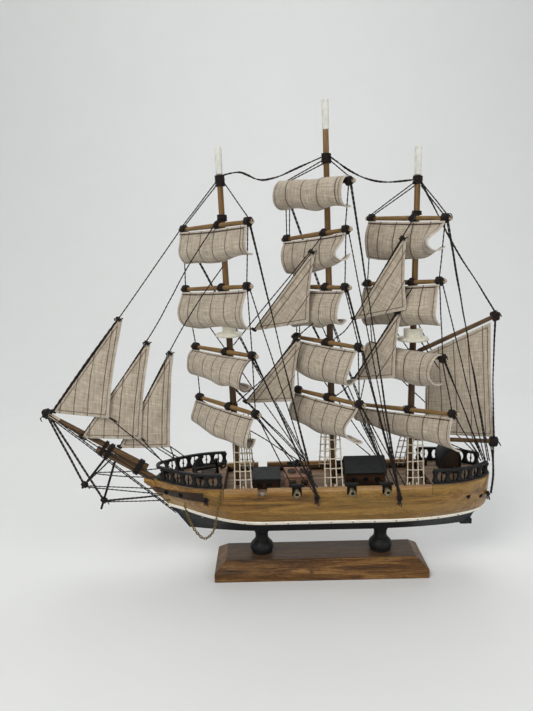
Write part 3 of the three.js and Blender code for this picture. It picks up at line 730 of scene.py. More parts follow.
def mast_threads():
    """Lifts from each mast head to the first yard, ties between the yards, and the braces to the deck's edge."""
    heads = {"fore": 280, "main": 292, "mizzen": 276.5}
    for mast, head in heads.items():
        body = mast + "_yards"
        yards = yards_of(mast)
        first = yards[0]
        for side, sign in (("port", 1), ("starboard", -1)):
            for n, shift in enumerate((0, 1.6) if side == "starboard" or mast == "mizzen" else (0,)):
                tie(f"{mast}_lift_{side}_{n + 1}", on_mast(mast, head - n * 2.4, 2.2 * sign, -1),
                    first.end(side, 3 + shift * 1.5, 0.4, 1.9), "root", body)
            for upper, lower in zip(yards, yards[1:]):
                name = f"{mast}_tie_{side}_{upper.number}"
                tie(name, upper.end(side, 4.4, 0.3, -1.8), lower.end(side, 4.6, 0.2, 1.8), body, wander=0.3)
                if mast == "main" and side == "starboard" and upper.number in (1, 3):
                    tie(name + "_double", upper.end(side, 8, 0, -1.8), lower.end(side, 7, 0, 1.8), body,
                        wander=0.5)
    for mast in ("fore", "main"):
        body = mast + "_yards"
        nail = PORT_NAILS[mast]
        for yard in yards_of(mast):
            for side, sign in (("port", 1), ("starboard", -1)):
                anchor = V(nail[0], sign * nail[1], nail[2])
                for n in range(2 if yard.number in (1, 3) else 1):
                    spread = V(0.5 * yard.number - 1.2 + 0.9 * n, -0.4 * n * sign, 0.7 * n)
                    tie(f"{mast}_brace_{side}_{yard.number}_{n + 1}", yard.end(side, 2.6 + n, -0.3, -1.7),
                        anchor + spread, body, "root", wander=0.35 + 0.3 * n)
    for name, yard, inset, x in (("fore_sheet", Yard("fore", 4), 2, -20),
                                 ("fore_sheet_2", Yard("fore", 4), 5, -3),
                                 ("main_sheet", Yard("main", 5), 2, 57),
                                 ("main_sheet_2", Yard("main", 5), 5, 47)):
        tie(name, yard.end("port", inset, 0, -2), on_side(x, 72.9, -1, -1), yard.body, "root")


def mizzen_threads():
    body = "mizzen_yards"
    rail = {"port": V(121.5, -7.5, 82.6), "starboard": V(121.5, 7.5, 82.6)}
    for yard in yards_of("mizzen"):
        for side in ("port", "starboard"):
            for n in range(2 if yard.number in (1, 3) and side == "port" else 1):
                tie(f"mizzen_brace_{side}_{yard.number}_{n + 1}", yard.end(side, 2.6 + n, -0.3, -1.7),
                    rail[side] + V(-1.6 * yard.number + n, -0.6 * n, 0), body, "root", wander=0.35 + 0.4 * n)
    for n, dy in enumerate((-0.6, 0.7)):
        route = [on_mast("mizzen", 277 - n, 2.4, dy), V(93 + n, dy - 4, 232), V(112, dy - 2, 205),
                 GAFF_PEAK + V(-4, dy, 2)]
        thread(f"gaff_lift_{n + 1}", route, "root", wander=0.3, bend="spanker_rig")
    for n, dy in enumerate((-0.9, 0.1, 1.0)):
        thread(f"leech_rope_{n + 1}",
               [GAFF_PEAK + V(-3.2, dy, -1.5), V(123.8 + n * 0.3, dy, 140), BOOM_END + V(-3, dy, 1.4)],
               "spanker_rig", 0.5, wander=0.2)
    for n, dy in enumerate((-1.1, -0.2, 0.8)):
        thread(f"boom_sheet_{n + 1}",
               [BOOM_END + V(-3.4 - n, dy, -1.2), V(125, -4 + dy, 82), V(124.8, -6 + dy, 70),
                                       STERN_NAIL + V(0.4, dy, 1)], "spanker_rig", wander=0.15, bend="root")
    tie("boom_topping", on_mast("mizzen", 172, 3, -1), BOOM_END + V(-8, 0, 1.6), "root", "spanker_rig")


def bow_threads():
    """Stays under the jib boom, down to the ends of the strikers and back to the stem."""
    for n, dy in enumerate((-0.9, 0.9)):
        side = math.copysign(1, dy)
        tie(f"martingale_long_{n + 1}", BOOM_TIP + V(1, dy, -1.6), STRIKER_LONG + V(0.3, dy, 0.6), "root")
        tie(f"martingale_short_{n + 1}", BOOM_TIP + V(2.4, dy, -1.2), STRIKER_SHORT + V(0.3, dy, 0.6), "root")
        tie(f"bowsprit_guy_{n + 1}", BOOM_TIP + V(3.4, 2 * dy, -0.8), V(-119.5, 4.4 * dy, 72), "root",
            sag=1.4)
        tie(f"long_bobstay_{n + 1}", BOOM_TIP + V(2, 1.6 * dy, -1.4), V(-105.4, 1.2 * dy, 45.4), "root")
        tie(f"backstay_long_{n + 1}", STRIKER_LONG + V(0, dy, -0.4), on_side(-113.5, 61.3, side), "root")
        tie(f"backstay_short_{n + 1}", STRIKER_SHORT + V(0, dy, -0.4), on_side(-108.4, 57.1, side), "root")
        tie(f"bobstay_{n + 1}", V(-150.2, 2.4 * dy, 87.8), STRIKER_LONG + V(0, dy, 0), "root")
        tie(f"bobstay_inner_{n + 1}", STRIKER_SHORT + V(0, dy, 0), on_side(-118.6, 58.4, side), "root")
        tie(f"striker_guy_{n + 1}", STRIKER_LONG + V(7.4, dy, 9.6), V(-116, 9 * side, 76), "root", sag=0.8)
    sheets = ((V(-148, -7.5, 120.4), -96), (V(-127, -5, 103.8), -99), (V(-107, -3, 96.4), -92))
    for n, (clew, x) in enumerate(sheets):
        for side, sign in SIDES:
            tie(f"jib_sheet_{n + 1}_{side}", clew + V(0.4, sign * 0.3, 0.4),
                V(x - 8, sign * (half_breadth(x - 8, RAISED_Z) - 3.4), 82.9), "root", wander=0.4)


def ladders():
    """Cream ratline ladders from the deck's edge to each mast, both sides."""
    places = {"fore": (-60, -48.4, -60.3, -50.3, 118), "main": (2.4, 14.8, 3.6, 13.6, 120),
              "mizzen": (59, 70.6, 63.6, 73.2, 112)}
    for mast, (left, right, top_left, top_right, top) in places.items():
        for side, sign in SIDES:
            pile = Pile()
            low, high = V(0, sign * 24.3, 68.5), V(0, sign * 4.2, top)
            for share in np.linspace(0, 1, 4):
                foot = low + V(lerp(left, right, share), 0, 0)
                head = high + V(lerp(top_left, top_right, share), 0, 0)
                pile.add(*strand([foot, head], 0.52, wander=0.15))
            for step in np.arange(0.06, 0.99, 0.118):
                a = lerp(low, high, step) + V(lerp(left, top_left, step) - 0.8, 0, 0.3 * math.sin(step * 40))
                b = lerp(low, high, step) + V(lerp(right, top_right, step) + 0.8, 0,
                                              0.3 * math.cos(step * 33))
                pile.add(*strand([a, lerp(a, b, 0.5) - V(0, 0, 0.25), b], 0.45))
            pile.make(f"ladder_{mast}_{side}", "cream_thread")


def mast_lashings():
    """Black thread round the masts, the white wound heads, and the knots on both ends of every yard."""
    bands = {"fore": ((280.2, 6.6), (256, 4)), "main": ((293, 6),), "mizzen": ((277.8, 5), (256.2, 2.6))}
    white = {"fore": (284.4, 301.4), "main": (311.3, 329.8), "mizzen": (281, 298.9)}
    for mast, (foot, head) in MASTS.items():
        axis = head - foot
        turns = [whipping(on_mast(mast, z), axis, mast_radius(mast, z), length, layers=2) for z,
                 length in bands[mast]]
        lashings(f"{mast}_mast_lashings", turns, "root")
        low, high = white[mast]
        tall = high - low
        profile = [(MAST_HEAD_R + 0.05, 0), (MAST_HEAD_R + 0.42, 0.25)]
        profile += [(MAST_HEAD_R + 0.42 + 0.05 * math.sin(2.1 * h) + 0.03 * (-1) ** n, h)
                    for n, h in enumerate(np.arange(0.6, tall, 0.38))]
        profile += [(MAST_HEAD_R + 0.3, tall + 0.35), (MAST_HEAD_R - 0.3, tall + 0.75), (0.2, tall + 0.85)]
        grained(f"{mast}_white_head", turned(profile, on_mast(mast, low), axis, 28), "white_tape")
    for mast in YARDS:
        turns = []
        for yard in yards_of(mast):
            for side, turn in (("port", 1), ("starboard", -1)):
                turns.append(whipping(yard.end(side, 4.2), yard.along, YARD_TIP_R, 5.4, layers=1, tail=2.2))
                turns.append(whipping(yard.end(side, 4.6), yard.along, YARD_TIP_R + 0.5, 3.2, layers=2))
                turns.append(whipping(yard.end(side, 5.4, 0, -0.3), yard.along + 0.8 * turn * yard.up,
                                      YARD_TIP_R + 0.9, 1.4, layers=1))
            turns.append(whipping(yard.at(0, 0.1), lerp(yard.along, yard.up, 0.35), YARD_R + 0.1, 4.4,
                                  layers=1))
            turns.append(whipping(yard.at(0.5, 0.1), lerp(yard.along, -yard.up, 0.35), YARD_R + 0.4, 3.6,
                                  layers=1))
            turns.append(whipping(yard.at(0, -YARD_FROM_MAST * 0.5), V(0, 0, 1), YARD_FROM_MAST * 0.5 + 1.7,
                                  2.4, layers=1))
        lashings(f"{mast}_yard_lashings", turns, mast + "_yards")
    for mast in ("fore", "mizzen"):
        yard = Yard(mast, 1)
        centre = yard.end("port", -1.6, 0, 0.9)
        loop = [centre + 1.9 * (math.cos(a) * yard.along + math.sin(a) * yard.up) + a * 0.12 * yard.ahead
                for a in np.linspace(math.pi * 0.9, math.pi * 2.75, 18)]
        Pile().add(*strand(loop, 0.36)).make(f"{mast}_yard_end_ring", "thread", yard.body)


BOWSPRIT = V(-112, 0, 66.7), V(-160.3, 0, 95.6)
SPAR_WAY = unit(BOWSPRIT[1] - BOWSPRIT[0])
SPAR_UP = V(SPAR_WAY[2], 0, -SPAR_WAY[0])


def bow_lashings():
    turns = []
    for along, length in ((23.5, 4.4), (47.5, 3.6), (52, 3.0)):
        for grow in (0, 0.6):
            turns.append(oval_winding(BOWSPRIT[0] + SPAR_WAY * along + SPAR_UP * 2.6, SPAR_WAY, SPAR_UP,
                                      2.7 + grow,
                                      5.4 + grow, length - grow))
    turns.append(whipping(BOWSPRIT[0] + SPAR_WAY * 68 + SPAR_UP * 5.4, SPAR_WAY, 2.0, 3, layers=3))
    knot = [BOOM_TIP + V(0, 0,
                         0.6) + 2.4 * np.array([math.cos(a * 1.9) * math.sin(a * 0.7), math.cos(a * 0.7),
                                                      math.sin(a * 1.9) * math.sin(a * 0.7)])
            for a in np.linspace(0, 30, 150)]
    turns.append(knot)
    turns.append(whipping(BOOM_TIP + V(1, 0, 0), SPAR_WAY, 1.7, 3.4, layers=3, tail=2))
    for end in (STRIKER_LONG, STRIKER_SHORT):
        turns.append(whipping(end + V(0.6, 0, 1), V(-0.6, 0, -0.8), 1.1, 2.4, layers=2, tail=2))
    lashings("bow_lashings", turns, "root")
    turns = [whipping(GAFF_PEAK - V(3.6, 0, 1.6), GAFF_PEAK - GAFF_JAW, 1.6, 4, layers=3, tail=2),
             whipping(BOOM_END - V(3.4, 0, 0), BOOM_END - BOOM_JAW, 1.6, 4.6, layers=3, tail=2)]
    lashings("spanker_lashings", turns, "spanker_rig")


def nail(name, place, direction, tie_length):
    """A nail in the hull's side, with the threads' ends wound round it."""
    place, direction = np.array(place, float), unit(np.array(direction, float))
    pile = Pile()
    pile.add(*turned([(0.5, -4), (0.5, 1.5), (0.85, 1.6), (0.9, 1.8), (0.6, 2.0)], place, direction, 14))
    pile.make(name, "iron")
    turns = [whipping(place + direction * 0.4, direction, 0.5, 1.4, layers=2)]
    for n in range(3):
        start = place + direction * 0.5 + V(0.5 * n - 0.5, 0, -0.6)
        turns.append([start, start + V(0.4 * n - 0.4, 0.1, -tie_length * 0.5),
                      start + V(0.9 * n - 0.9, 0.1, -tie_length * (0.8 + 0.15 * n))])
    lashings(name + "_thread", turns, "root")


def nails():
    for mast, place in PORT_NAILS.items():
        for side, sign in (("port", 1), ("starboard", -1)):
            nail(f"nail_{mast}_{side}", V(place[0], sign * (place[1] + 0.8), place[2]), V(0, -sign, 0), 5)
    nail("nail_stern", STERN_NAIL + V(-1.5, 1.5, 0), V(0.85, -0.5, 0), 4)
    nail("nail_bow_port", on_side(-80.2, 64.8), V(-0.2, -1, 0), 4)
    nail("nail_bow_starboard", on_side(-80.2, 64.8, 1), V(-0.2, 1, 0), 4)


def rigging():
    slack_ropes()
    stays()
    mast_threads()
    mizzen_threads()
    bow_threads()
    ladders()
    mast_lashings()
    bow_lashings()
    nails()


# ------------------------------------------------------------------ stand
def stand():
    rows = []
    for length, width, z in ((153.6, 41.6, 0), (154, 42, 0.5), (154, 42, 6.4), (137.8, 25.8, 13.1)):
        rows.append([(sx * length / 2, sy * width / 2, z) for sx, sy in ((-1, -1), (1, -1), (1, 1), (-1, 1))])
    board = make_mesh("base_board_fine", *skin(rows), LOOK["base_wood"])
    stand_for(bevelled(board, 0.5, 3), "base_board")
    profile = [(7.2, 0), (7.6, 0.3), (7.7, 1.1), (7.2, 1.5), (8.2, 2.1), (8.55, 3.6), (8.6, 4.6), (8.3, 5.9),
               (7.4, 7.2),
               (6.1, 8.4), (5.5, 9.0), (5.6, 9.5), (4.95, 9.9), (4.7, 11.2), (4.7, 14.0), (5.0, 15.2),
               (5.5, 16.2),
               (5.6, 17.4), (5.6, 19.4), (5.3, 19.8)]
    for name, x in (("post_fore", -42.8), ("post_aft", 45.2)):
        post = lathed(name + "_turned", profile, (x, 0, 13.4), "black_paint", sides=56)
        stand_for(bevelled(post, 0.12, 1), name)


# ------------------------------------------------------------------ hull
def stations(x0, x1, count):
    """Places from x0 to x1 that lie closer together at the ends."""
    return [lerp(x0, x1, (1 - math.cos(math.pi * i / (count - 1))) / 2) for i in range(count)]


def hull_body(low_at, high_at, levels, count=72):
    """A closed body between two heights, with both sides of the hull's own form."""
    rings = []
    for level in range(levels):
        share = level / (levels - 1)
        sides = []
        for part in stations(0, 1, count):
            x_there = lerp(STEM, STERN, part)
            z = lerp(low_at(x_there), high_at(x_there), share)
            sides.append((lerp(stem_x(z), stern_x(z), part), z))
        rings.append([on_side(x, z) for x, z in sides] + [on_side(x, z, 1) for x, z in sides[::-1]])
    return skin(rings)


def hull_slab(x0, x1, z0, z1, levels, out=0.0, outline_z=None):
    """A slab as wide as the hull between two stations; out moves its edge outwards."""
    rings = []
    for z in np.linspace(z0, z1, levels):
        port = [V(x, -max(half_breadth(x, outline_z or z) + out, 0.4), z) for x in stations(x0, x1, 44)]
        rings.append(port + [p * V(1, -1, 1) for p in port[::-1]])
    return skin(rings)


def side_strip(pile, sign, x0, x1, z0, z1, thick, out=0.0):
    """A strip of wood bent along the bulwark's line."""
    rings = []
    for x in np.linspace(x0, x1, max(int((x1 - x0) / 3), 2) + 1):
        outer = half_breadth(x, RAISED_Z) + out
        rings.append([(x, sign * y, z) for y,
                      z in ((outer, z0), (outer, z1), (outer - thick, z1), (outer - thick, z0))])
    pile.add(*facing(skin(rings), sign < 0))


def hull():
    low = make_mesh("keel_painted", *hull_body(lambda x: KEEL_Z, lambda x: strip_z(x) - STRIP_HALF, 10),
                    LOOK["keel_paint"])
    stand_for(bevelled(low, 0.35), "lower_hull")
    side = Pile().add(*hull_body(lambda x: strip_z(x) + STRIP_HALF - 3, lambda x: DECK_Z, 16))
    for x0, x1 in ((STEM, FORECASTLE_X), (POOP_X, STERN)):
        side.add(*hull_slab(x0, x1, DECK_Z, RAISED_Z, 3))
    planked = side.make("hull_planked", "hull_wood")
    stand_for(bevelled(planked, 0.35), "upper_hull")
    for name, x0, x1, z, out in (("main_deck", FORECASTLE_X, POOP_X, DECK_Z, -WALL),
                                 ("forecastle_deck", -122.6, FORECASTLE_X - 0.2, RAISED_Z, -0.9),
                                 ("poop_deck", POOP_X + 0.2, 122.6, RAISED_Z, -0.9)):
        planks = hull_slab(x0, x1, z, z + PLANK, 2, out, RAISED_Z)
        make_mesh(name, *planks, LOOK["deck_planks"], smooth=False)
    for name, x0, x1 in (("forecastle_front", FORECASTLE_X, FORECASTLE_X + 0.5),
                         ("poop_front", POOP_X - 0.5, POOP_X)):
        bevelled(make_mesh(name, *box(x0, x1, -24, 24, DECK_Z + 0.2, RAISED_Z), LOOK["wall_wood"]), 0.15)


def painted_strip():
    """The cream strip between the hull's two colours, with a pin every few centimetres."""
    section = [(-STRIP_HALF, -1), (-STRIP_HALF, 0.35), (-1.2, 0.6), (1.2, 0.6), (STRIP_HALF, 0.35),
               (STRIP_HALF, -1)]
    for side, sign in SIDES:
        rings = []
        for part in stations(0, 1, 90):
            x = lerp(STEM, STERN, part)
            z = strip_z(x)
            place = lerp(stem_x(z), stern_x(z), part)
            rings.append([on_side(place, z + dz, sign, out) for dz, out in section])
        make_mesh(f"painted_strip_{side}", *facing(skin(rings), sign < 0), LOOK["strip_paint"])
        pins = Pile()
        for x in np.arange(-100, 112, 15.3):
            place = on_side(x, strip_z(x), sign, 0.55)
            pins.add(*turned([(0.62, 0), (0.6, 0.18), (0.35, 0.3)], place, (0, sign, 0), 12))
        pins.make(f"strip_pins_{side}", "steel")


def bulwarks():
    edges = [FORECASTLE_X + 0.3, *[x + s * PORT_HALF for x in PORTS for s in (-1, 1)], POOP_X - 0.3]
    for side, sign in SIDES:
        wall, cap = Pile(), Pile()
        side_strip(wall, sign, edges[0], edges[-1], DECK_Z + 0.1, SILL_Z, WALL)
        for x0, x1 in zip(edges[::2], edges[1::2]):
            side_strip(wall, sign, x0, x1, SILL_Z, 70.1, WALL)
            side_strip(cap, sign, x0, x1, 70.1, BULWARK_TOP, WALL + 0.5, 0.25)
        wall_piece = bevelled(wall.make(f"bulwark_wall_{side}", "hull_wood"), 0.15)
        stand_for(wall_piece, f"bulwark_{side}")
        bevelled(cap.make(f"bulwark_cap_{side}", "cap_wood"), 0.3)
        # A thin, very dark sheet over the bulwark's inner face.
        inner_dark = Pile()
        for x0, x1 in zip(edges[::2], edges[1::2]):
            side_strip(inner_dark, sign, x0 + 0.1, x1 - 0.1, DECK_Z + 0.4, 70.0, 0.25, -WALL + 0.1)
        inner_dark.make(f"bulwark_inner_dark_{side}", "wall_wood")
        lathed(f"glue_patch_{side}", [(0.4, -0.2), (1.5, 0), (1.7, 0.2), (1.1, 0.6), (0.4, 0.7)],
               on_side(PORTS[0], 67.8, sign, -2.6), "old_glue", (0, sign, 0.3), 18)


def bow_and_stern_trim():
    """The dark cheek pieces with hawse holes, the rudder block, and rings round the stern's holes; a black disc in each
    hole is painted shade.
    """
    for side, sign in SIDES:
        rings = []
        for share in np.linspace(0, 1, 22):
            x = lerp(-121.5, -82, share)
            low, high = lerp(63.4, 62.4, share), lerp(67.2, 70.0, share)
            rings.append([on_side(x, z, sign, out) for z,
                          out in ((low, -0.5), (low, 0.6), (high, 0.6), (high, -0.5))])
        bevelled(make_mesh(f"bow_cheek_{side}", *facing(skin(rings), sign > 0), LOOK["wall_wood"]), 0.25)
        holes, rims = Pile(), Pile()
        for x, z, out in ((-110, 65.6, 0.7), (-98.6, 66.1, 0.7), (103.3, 60.8, 0.1), (114.8, 57.9, 0.1)):
            skin_run = on_side(x + 1, z, sign) - on_side(x - 1, z, sign)
            axis = unit(np.cross(skin_run, V(0, 0, sign)))
            place = on_side(x, z, sign, out)
            # Painted shade: a flat black disc in each rim stands for the dark inside the hole.
            holes.add(*turned([(0.1, 0), (1.15, 0.02), (1.15, 0.1), (0.1, 0.1)], place, axis, 20))
            rims.add(*turned([(1.1, -0.2), (1.15, 0.28), (1.5, 0.34), (1.8, 0.12), (1.85, -0.2)], place, axis,
                             24))
        holes.make(f"hawse_hole_shade_{side}", "black_paint")
        rims.make(f"hawse_rims_{side}", "iron")
    bevelled(make_mesh("rudder_block", *box(104, 112.6, -1.3, 1.3, 31.5, 35.5), LOOK["keel_paint"]), 0.4)
    nose = []
    for x, half, low, high in ((-117, 5.4, 64.5, 72.9), (-121, 4.0, 65.2, 72.9), (-125, 2.6, 66.8, 72.8),
                               (-127.6, 1.3, 69, 72.4)):
        nose.append([V(x, half * math.cos(a), lerp(low, high, 0.5 + 0.5 * math.sin(a)))
                     for a in circle(24)])
    make_mesh("stem_head", *skin(nose), LOOK["hull_wood"])


# ------------------------------------------------------------------ rails
SPOOL = [(2.2, 0), (2.3, 0.5), (2.15, 1.1), (1.75, 1.8), (1.5, 2.7), (1.42, 3.6), (1.5, 4.5), (1.75, 5.4),
         (2.15, 6.1),
         (2.3, 6.7), (2.2, 7.2)]
PIN = [(0.42, -0.2), (0.42, 2.2), (0.72, 2.9), (0.8, 3.4), (0.5, 4.1), (0.42, 4.6), (0.42, 7.6)]


def rail_bars(name, low, feet, ways, outward):
    """The bottom and top bar of a rail along its feet; ways point across the rail at each foot."""
    pile = Pile()
    for z0, z1, half in ((low, low + 1.6, 1.1), (low + 8.5, low + 10.2, 1.3)):
        corners = ((-half, z0), (half, z0), (half, z1), (-half, z1))
        rings = [[foot + way * w + V(0, 0, z) for w, z in corners] for foot, way in zip(feet, ways)]
        pile.add(*facing(skin(rings), outward))
    return bevelled(pile.make(name, "rail_paint"), 0.3, 3)


def balustrades():
    low = RAISED_Z + PLANK
    for deck, x0, x1 in (("forecastle", FORECASTLE_X - 1, -113), ("poop", POOP_X + 1, 118.7)):
        for side, sign in SIDES:
            line = np.array([(x, half_breadth(x, RAISED_Z) - 3.5) for x in np.linspace(x0, x1, 60)])
            run = np.gradient(line, axis=0)
            run /= np.linalg.norm(run, axis=1)[:, None]
            across = np.stack([-run[:, 1], run[:, 0]], 1)
            mirror = V(1, sign, 0)
            feet, ways = (np.column_stack([part, np.zeros(60)]) * mirror for part in (line, across))
            rails = rail_bars(f"{deck}_rails_{side}", low, feet, ways, (x1 > x0) == (sign > 0))
            stand_for(rails, f"{deck}_rail_{side}")
            lengths = lengths_along(line)
            count = round(lengths[-1] / 9.8)
            spools, pins = Pile(), Pile()
            for i in range(2 * count + 1):
                at = lengths[-1] * lerp(0.03, 0.97, i / (2 * count))
                x, y = (float(np.interp(at, lengths, line[:, k])) for k in (0, 1))
                place = V(x, sign * y, low + 1.5)
                (pins if i % 2 else spools).add(*turned(PIN if i % 2 else SPOOL, place, sides=18))
            spools.make(f"{deck}_spools_{side}", "black_paint")
            pins.make(f"{deck}_pins_{side}", "iron")
    reach = half_breadth(-113, RAISED_Z) - 3.5
    bend = np.linspace(0, math.pi, 21)
    rail_bars("forecastle_rails_bow", low,
              [V(-112.8 - 4 * math.sin(a), -reach * math.cos(a), 0) for a in bend],
              [V(math.sin(a), math.cos(a), 0) for a in bend], True)


# ------------------------------------------------------------------ deck fittings
def portholes(house, xs, y, z):
    """Round ports along both walls of a deckhouse."""
    radius = 1.1
    rim = [(radius, -0.3), (radius, 0.4), (radius + 0.5, 0.5), (radius + 0.8, 0.2), (radius + 0.8, -0.3)]
    pane = [(0.1, 0), (radius + 0.1, 0.02), (radius + 0.1, 0.1), (0.1, 0.12)]
    rims, glass = Pile(), Pile()
    for sign in (-1, 1):
        for x in xs:
            rims.add(*turned(rim, V(x, sign * y, z), (0, sign, 0), 24))
            glass.add(*turned(pane, V(x, sign * y, z), (0, sign, 0), 20))
    rims.make(house + "_port_rims", "iron")
    glass.make(house + "_port_glass", "black_paint")


def fore_house():
    low, x0, x1 = DECK_Z + PLANK, -48.45, -27.95
    walls = Pile().add(*box(x0 + 0.8, x1 - 0.8, -11.7, 11.7, low, low + 7))
    stand_for(bevelled(walls.make("fore_deckhouse_walls", "wall_wood"), 0.3), "fore_deckhouse")
    bevelled(make_mesh("fore_deckhouse_roof", *box(x0, x1, -12.5, 12.5, low + 6.6, low + 8.2),
                       LOOK["roof_paint"]), 0.5, 3)
    frames = Pile()
    for x in (x0 + 0.9, x1 - 0.9):
        for y in (-11.6, 11.6):
            frames.add(*box(x - 0.5, x + 0.5, y - 0.45, y + 0.45, low, low + 6.7))
    bevelled(frames.make("fore_deckhouse_posts", "black_paint"), 0.15)
    portholes("fore_deckhouse", (-43.2, -36.4), 11.75, low + 3.4)


def main_house():
    low, x0, x1 = DECK_Z + PLANK, 18.3, 47.3
    walls = Pile().add(*box(x0 + 0.6, x1 - 0.6, -10, 10, low, low + 11))
    gable = [(-10, low + 11), (10, low + 11), (0, low + 18.2)]
    walls.add(*skin([[V(x, y, z) for y, z in gable] for x in (x0 + 0.6, x1 - 0.6)]))
    stand_for(bevelled(walls.make("main_deckhouse_walls", "wall_wood"), 0.3), "main_deckhouse")
    roof = Pile()
    for sign in (-1, 1):
        slope = [(sign * 11.6, low + 10.6), (0, low + 19.5), (0, low + 18.0), (sign * 11.2, low + 9.6)]
        shape = skin([[V(x, y, z) for y, z in slope] for x in (x0 - 0.4, x1 + 0.4)])
        roof.add(*facing(shape, sign < 0))
    bevelled(roof.make("main_deckhouse_roof", "roof_paint"), 0.35, 3)
    portholes("main_deckhouse", (24.5, 32.8, 41), 10.05, low + 5.2)


def poop_cabin():
    low, x, radius, y0, y1 = RAISED_Z + PLANK, 95.1, 6.0, -5.5, 12.5
    spring = 17.4 - radius
    arch = [(-radius, 0), (-radius, spring)]
    arch += [(-radius * math.cos(a), spring + radius * math.sin(a)) for a in np.linspace(0, math.pi,
                                                                                         33)[1:-1]]
    arch += [(radius, spring), (radius, 0)]

    def section(y, scale):
        """The arch at y; scale draws in its sides and the part above its spring."""
        return [V(x + dx * scale, y, low + (z if z <= spring else spring + (z - spring) * scale)) for dx,
                z in arch]

    front = make_mesh("poop_cabin_front", *skin([section(y, 0.93) for y in (y0, y1)]), LOOK["wall_wood"])
    stand_for(bevelled(front, 0.3), "poop_cabin")
    lip = ((y0 - 0.8, 0.94), (y0 - 1.2, 0.97), (y0 - 0.9, 1.0), (y1 + 0.6, 1.0), (y1 + 0.9, 0.96))
    shell = skin([section(y, scale) for y, scale in lip], closed=False, caps=False)
    thick = make_mesh("poop_cabin_roof", *shell, LOOK["roof_paint"]).modifiers.new("thickness", "SOLIDIFY")
    thick.thickness, thick.offset = 0.7 * MM, 0
    door = box(x - 2.4, x + 2.4, y0 - 0.3, y0 + 0.2, low, low + 9.6)
    bevelled(make_mesh("poop_cabin_door", *door, LOOK["wall_wood"]), 0.25)
    lathed("poop_cabin_door_knob", [(0.3, 0), (0.45, 0.3), (0.35, 0.6)], V(x + 1.6, y0 - 0.3, low + 5),
           "brass",
           (0, -1, 0), 14)


def cargo_hatch():
    low, x0, x1 = DECK_Z + PLANK, -25.4, -5.4
    body = Pile().add(*box(x0 + 0.6, x1 - 0.6, -8.9, 8.9, low, low + 7.4))
    stand_for(bevelled(body.make("cargo_hatch_coaming", "hatch_wood"), 0.3), "cargo_hatch")
    lid = box(x0, x1, -9.5, 9.5, low + 7.2, low + 8.4)
    bevelled(make_mesh("cargo_hatch_lid", *lid, LOOK["hatch_wood"]), 0.35, 3)
    rims, wells = Pile(), Pile()
    for x in (-19.6, -11):
        oval = [V(3.1 * math.cos(a), 5.4 * math.sin(a), 0) for a in circle(28)]
        # Painted shade: each flat dark oval on the lid stands for the shade inside one of its oval recesses.
        wells.add(*skin([[V(x, 0, z) + p for p in oval] for z in (low + 8.42, low + 8.48)]))
        rims.add(*strand([V(x, 0, low + 8.5) + 1.16 * p for p in [*oval, oval[0]]], 0.45, 0.8))
        wells.add(*box(x - 2.4, x + 2.4, -9.7, -9.0, low + 1.6, low + 5.4))
    wells.make("cargo_hatch_wells", "wall_wood")
    rims.make("cargo_hatch_rims", "hatch_wood")


def small_fittings():
    """The capstan, the block under the anchor, the step by the poop, bitts and belaying pins."""
    capstan = [(3.0, 0), (3.2, 0.6), (2.6, 1.3), (1.9, 2.4), (1.6, 4.2), (1.9, 5.6), (2.7, 6.4), (2.9, 7.2),
               (2.6, 7.9),
               (1.3, 8.4), (1.5, 9.2), (1.3, 10.2), (0.5, 10.7)]
    lathed("capstan", capstan, V(-15, 19, DECK_Z + PLANK), "black_paint")
    block = box(-86, -75.5, -5.5, 6.5, RAISED_Z + PLANK, RAISED_Z + 3.4)
    bevelled(make_mesh("anchor_block", *block, LOOK["wall_wood"]), 0.5, 3)
    wedge = [(-1.6, 0), (4.4, 0), (4.4, 6.2), (3.4, 6.2)]
    step = skin([[V(71 + dx, y, DECK_Z + PLANK + dz) for dx, dz in wedge] for y in (-21.5, -15.5)])
    bevelled(make_mesh("poop_step", *facing(step, False), LOOK["wall_wood"]), 0.25)
    bitts = Pile()
    for x, y in ((-100, -4), (-100, 4), (-72, -14), (-72, 14), (81, -12), (81, 12)):
        bitts.add(*turned([(0.9, 0), (0.9, 3.0), (1.3, 3.5), (1.3, 4.2), (0.8, 4.8)],
                          V(x, y, RAISED_Z + PLANK), sides=16))
    bitts.make("bitts", "black_paint")
    pins = Pile()
    for sign in (-1, 1):
        for x in (-60, -54, -48, 3, 9, 15, 60, 65, 70):
            place = V(x, sign * (half_breadth(x, RAISED_Z) - 1.2), 71.4)
            pins.add(*turned([(0.35, 0), (0.35, 1.6), (0.6, 2.1), (0.55, 3.0), (0.25, 3.4)], place, sides=12))
    pins.make("belaying_pins", "bare_wood")


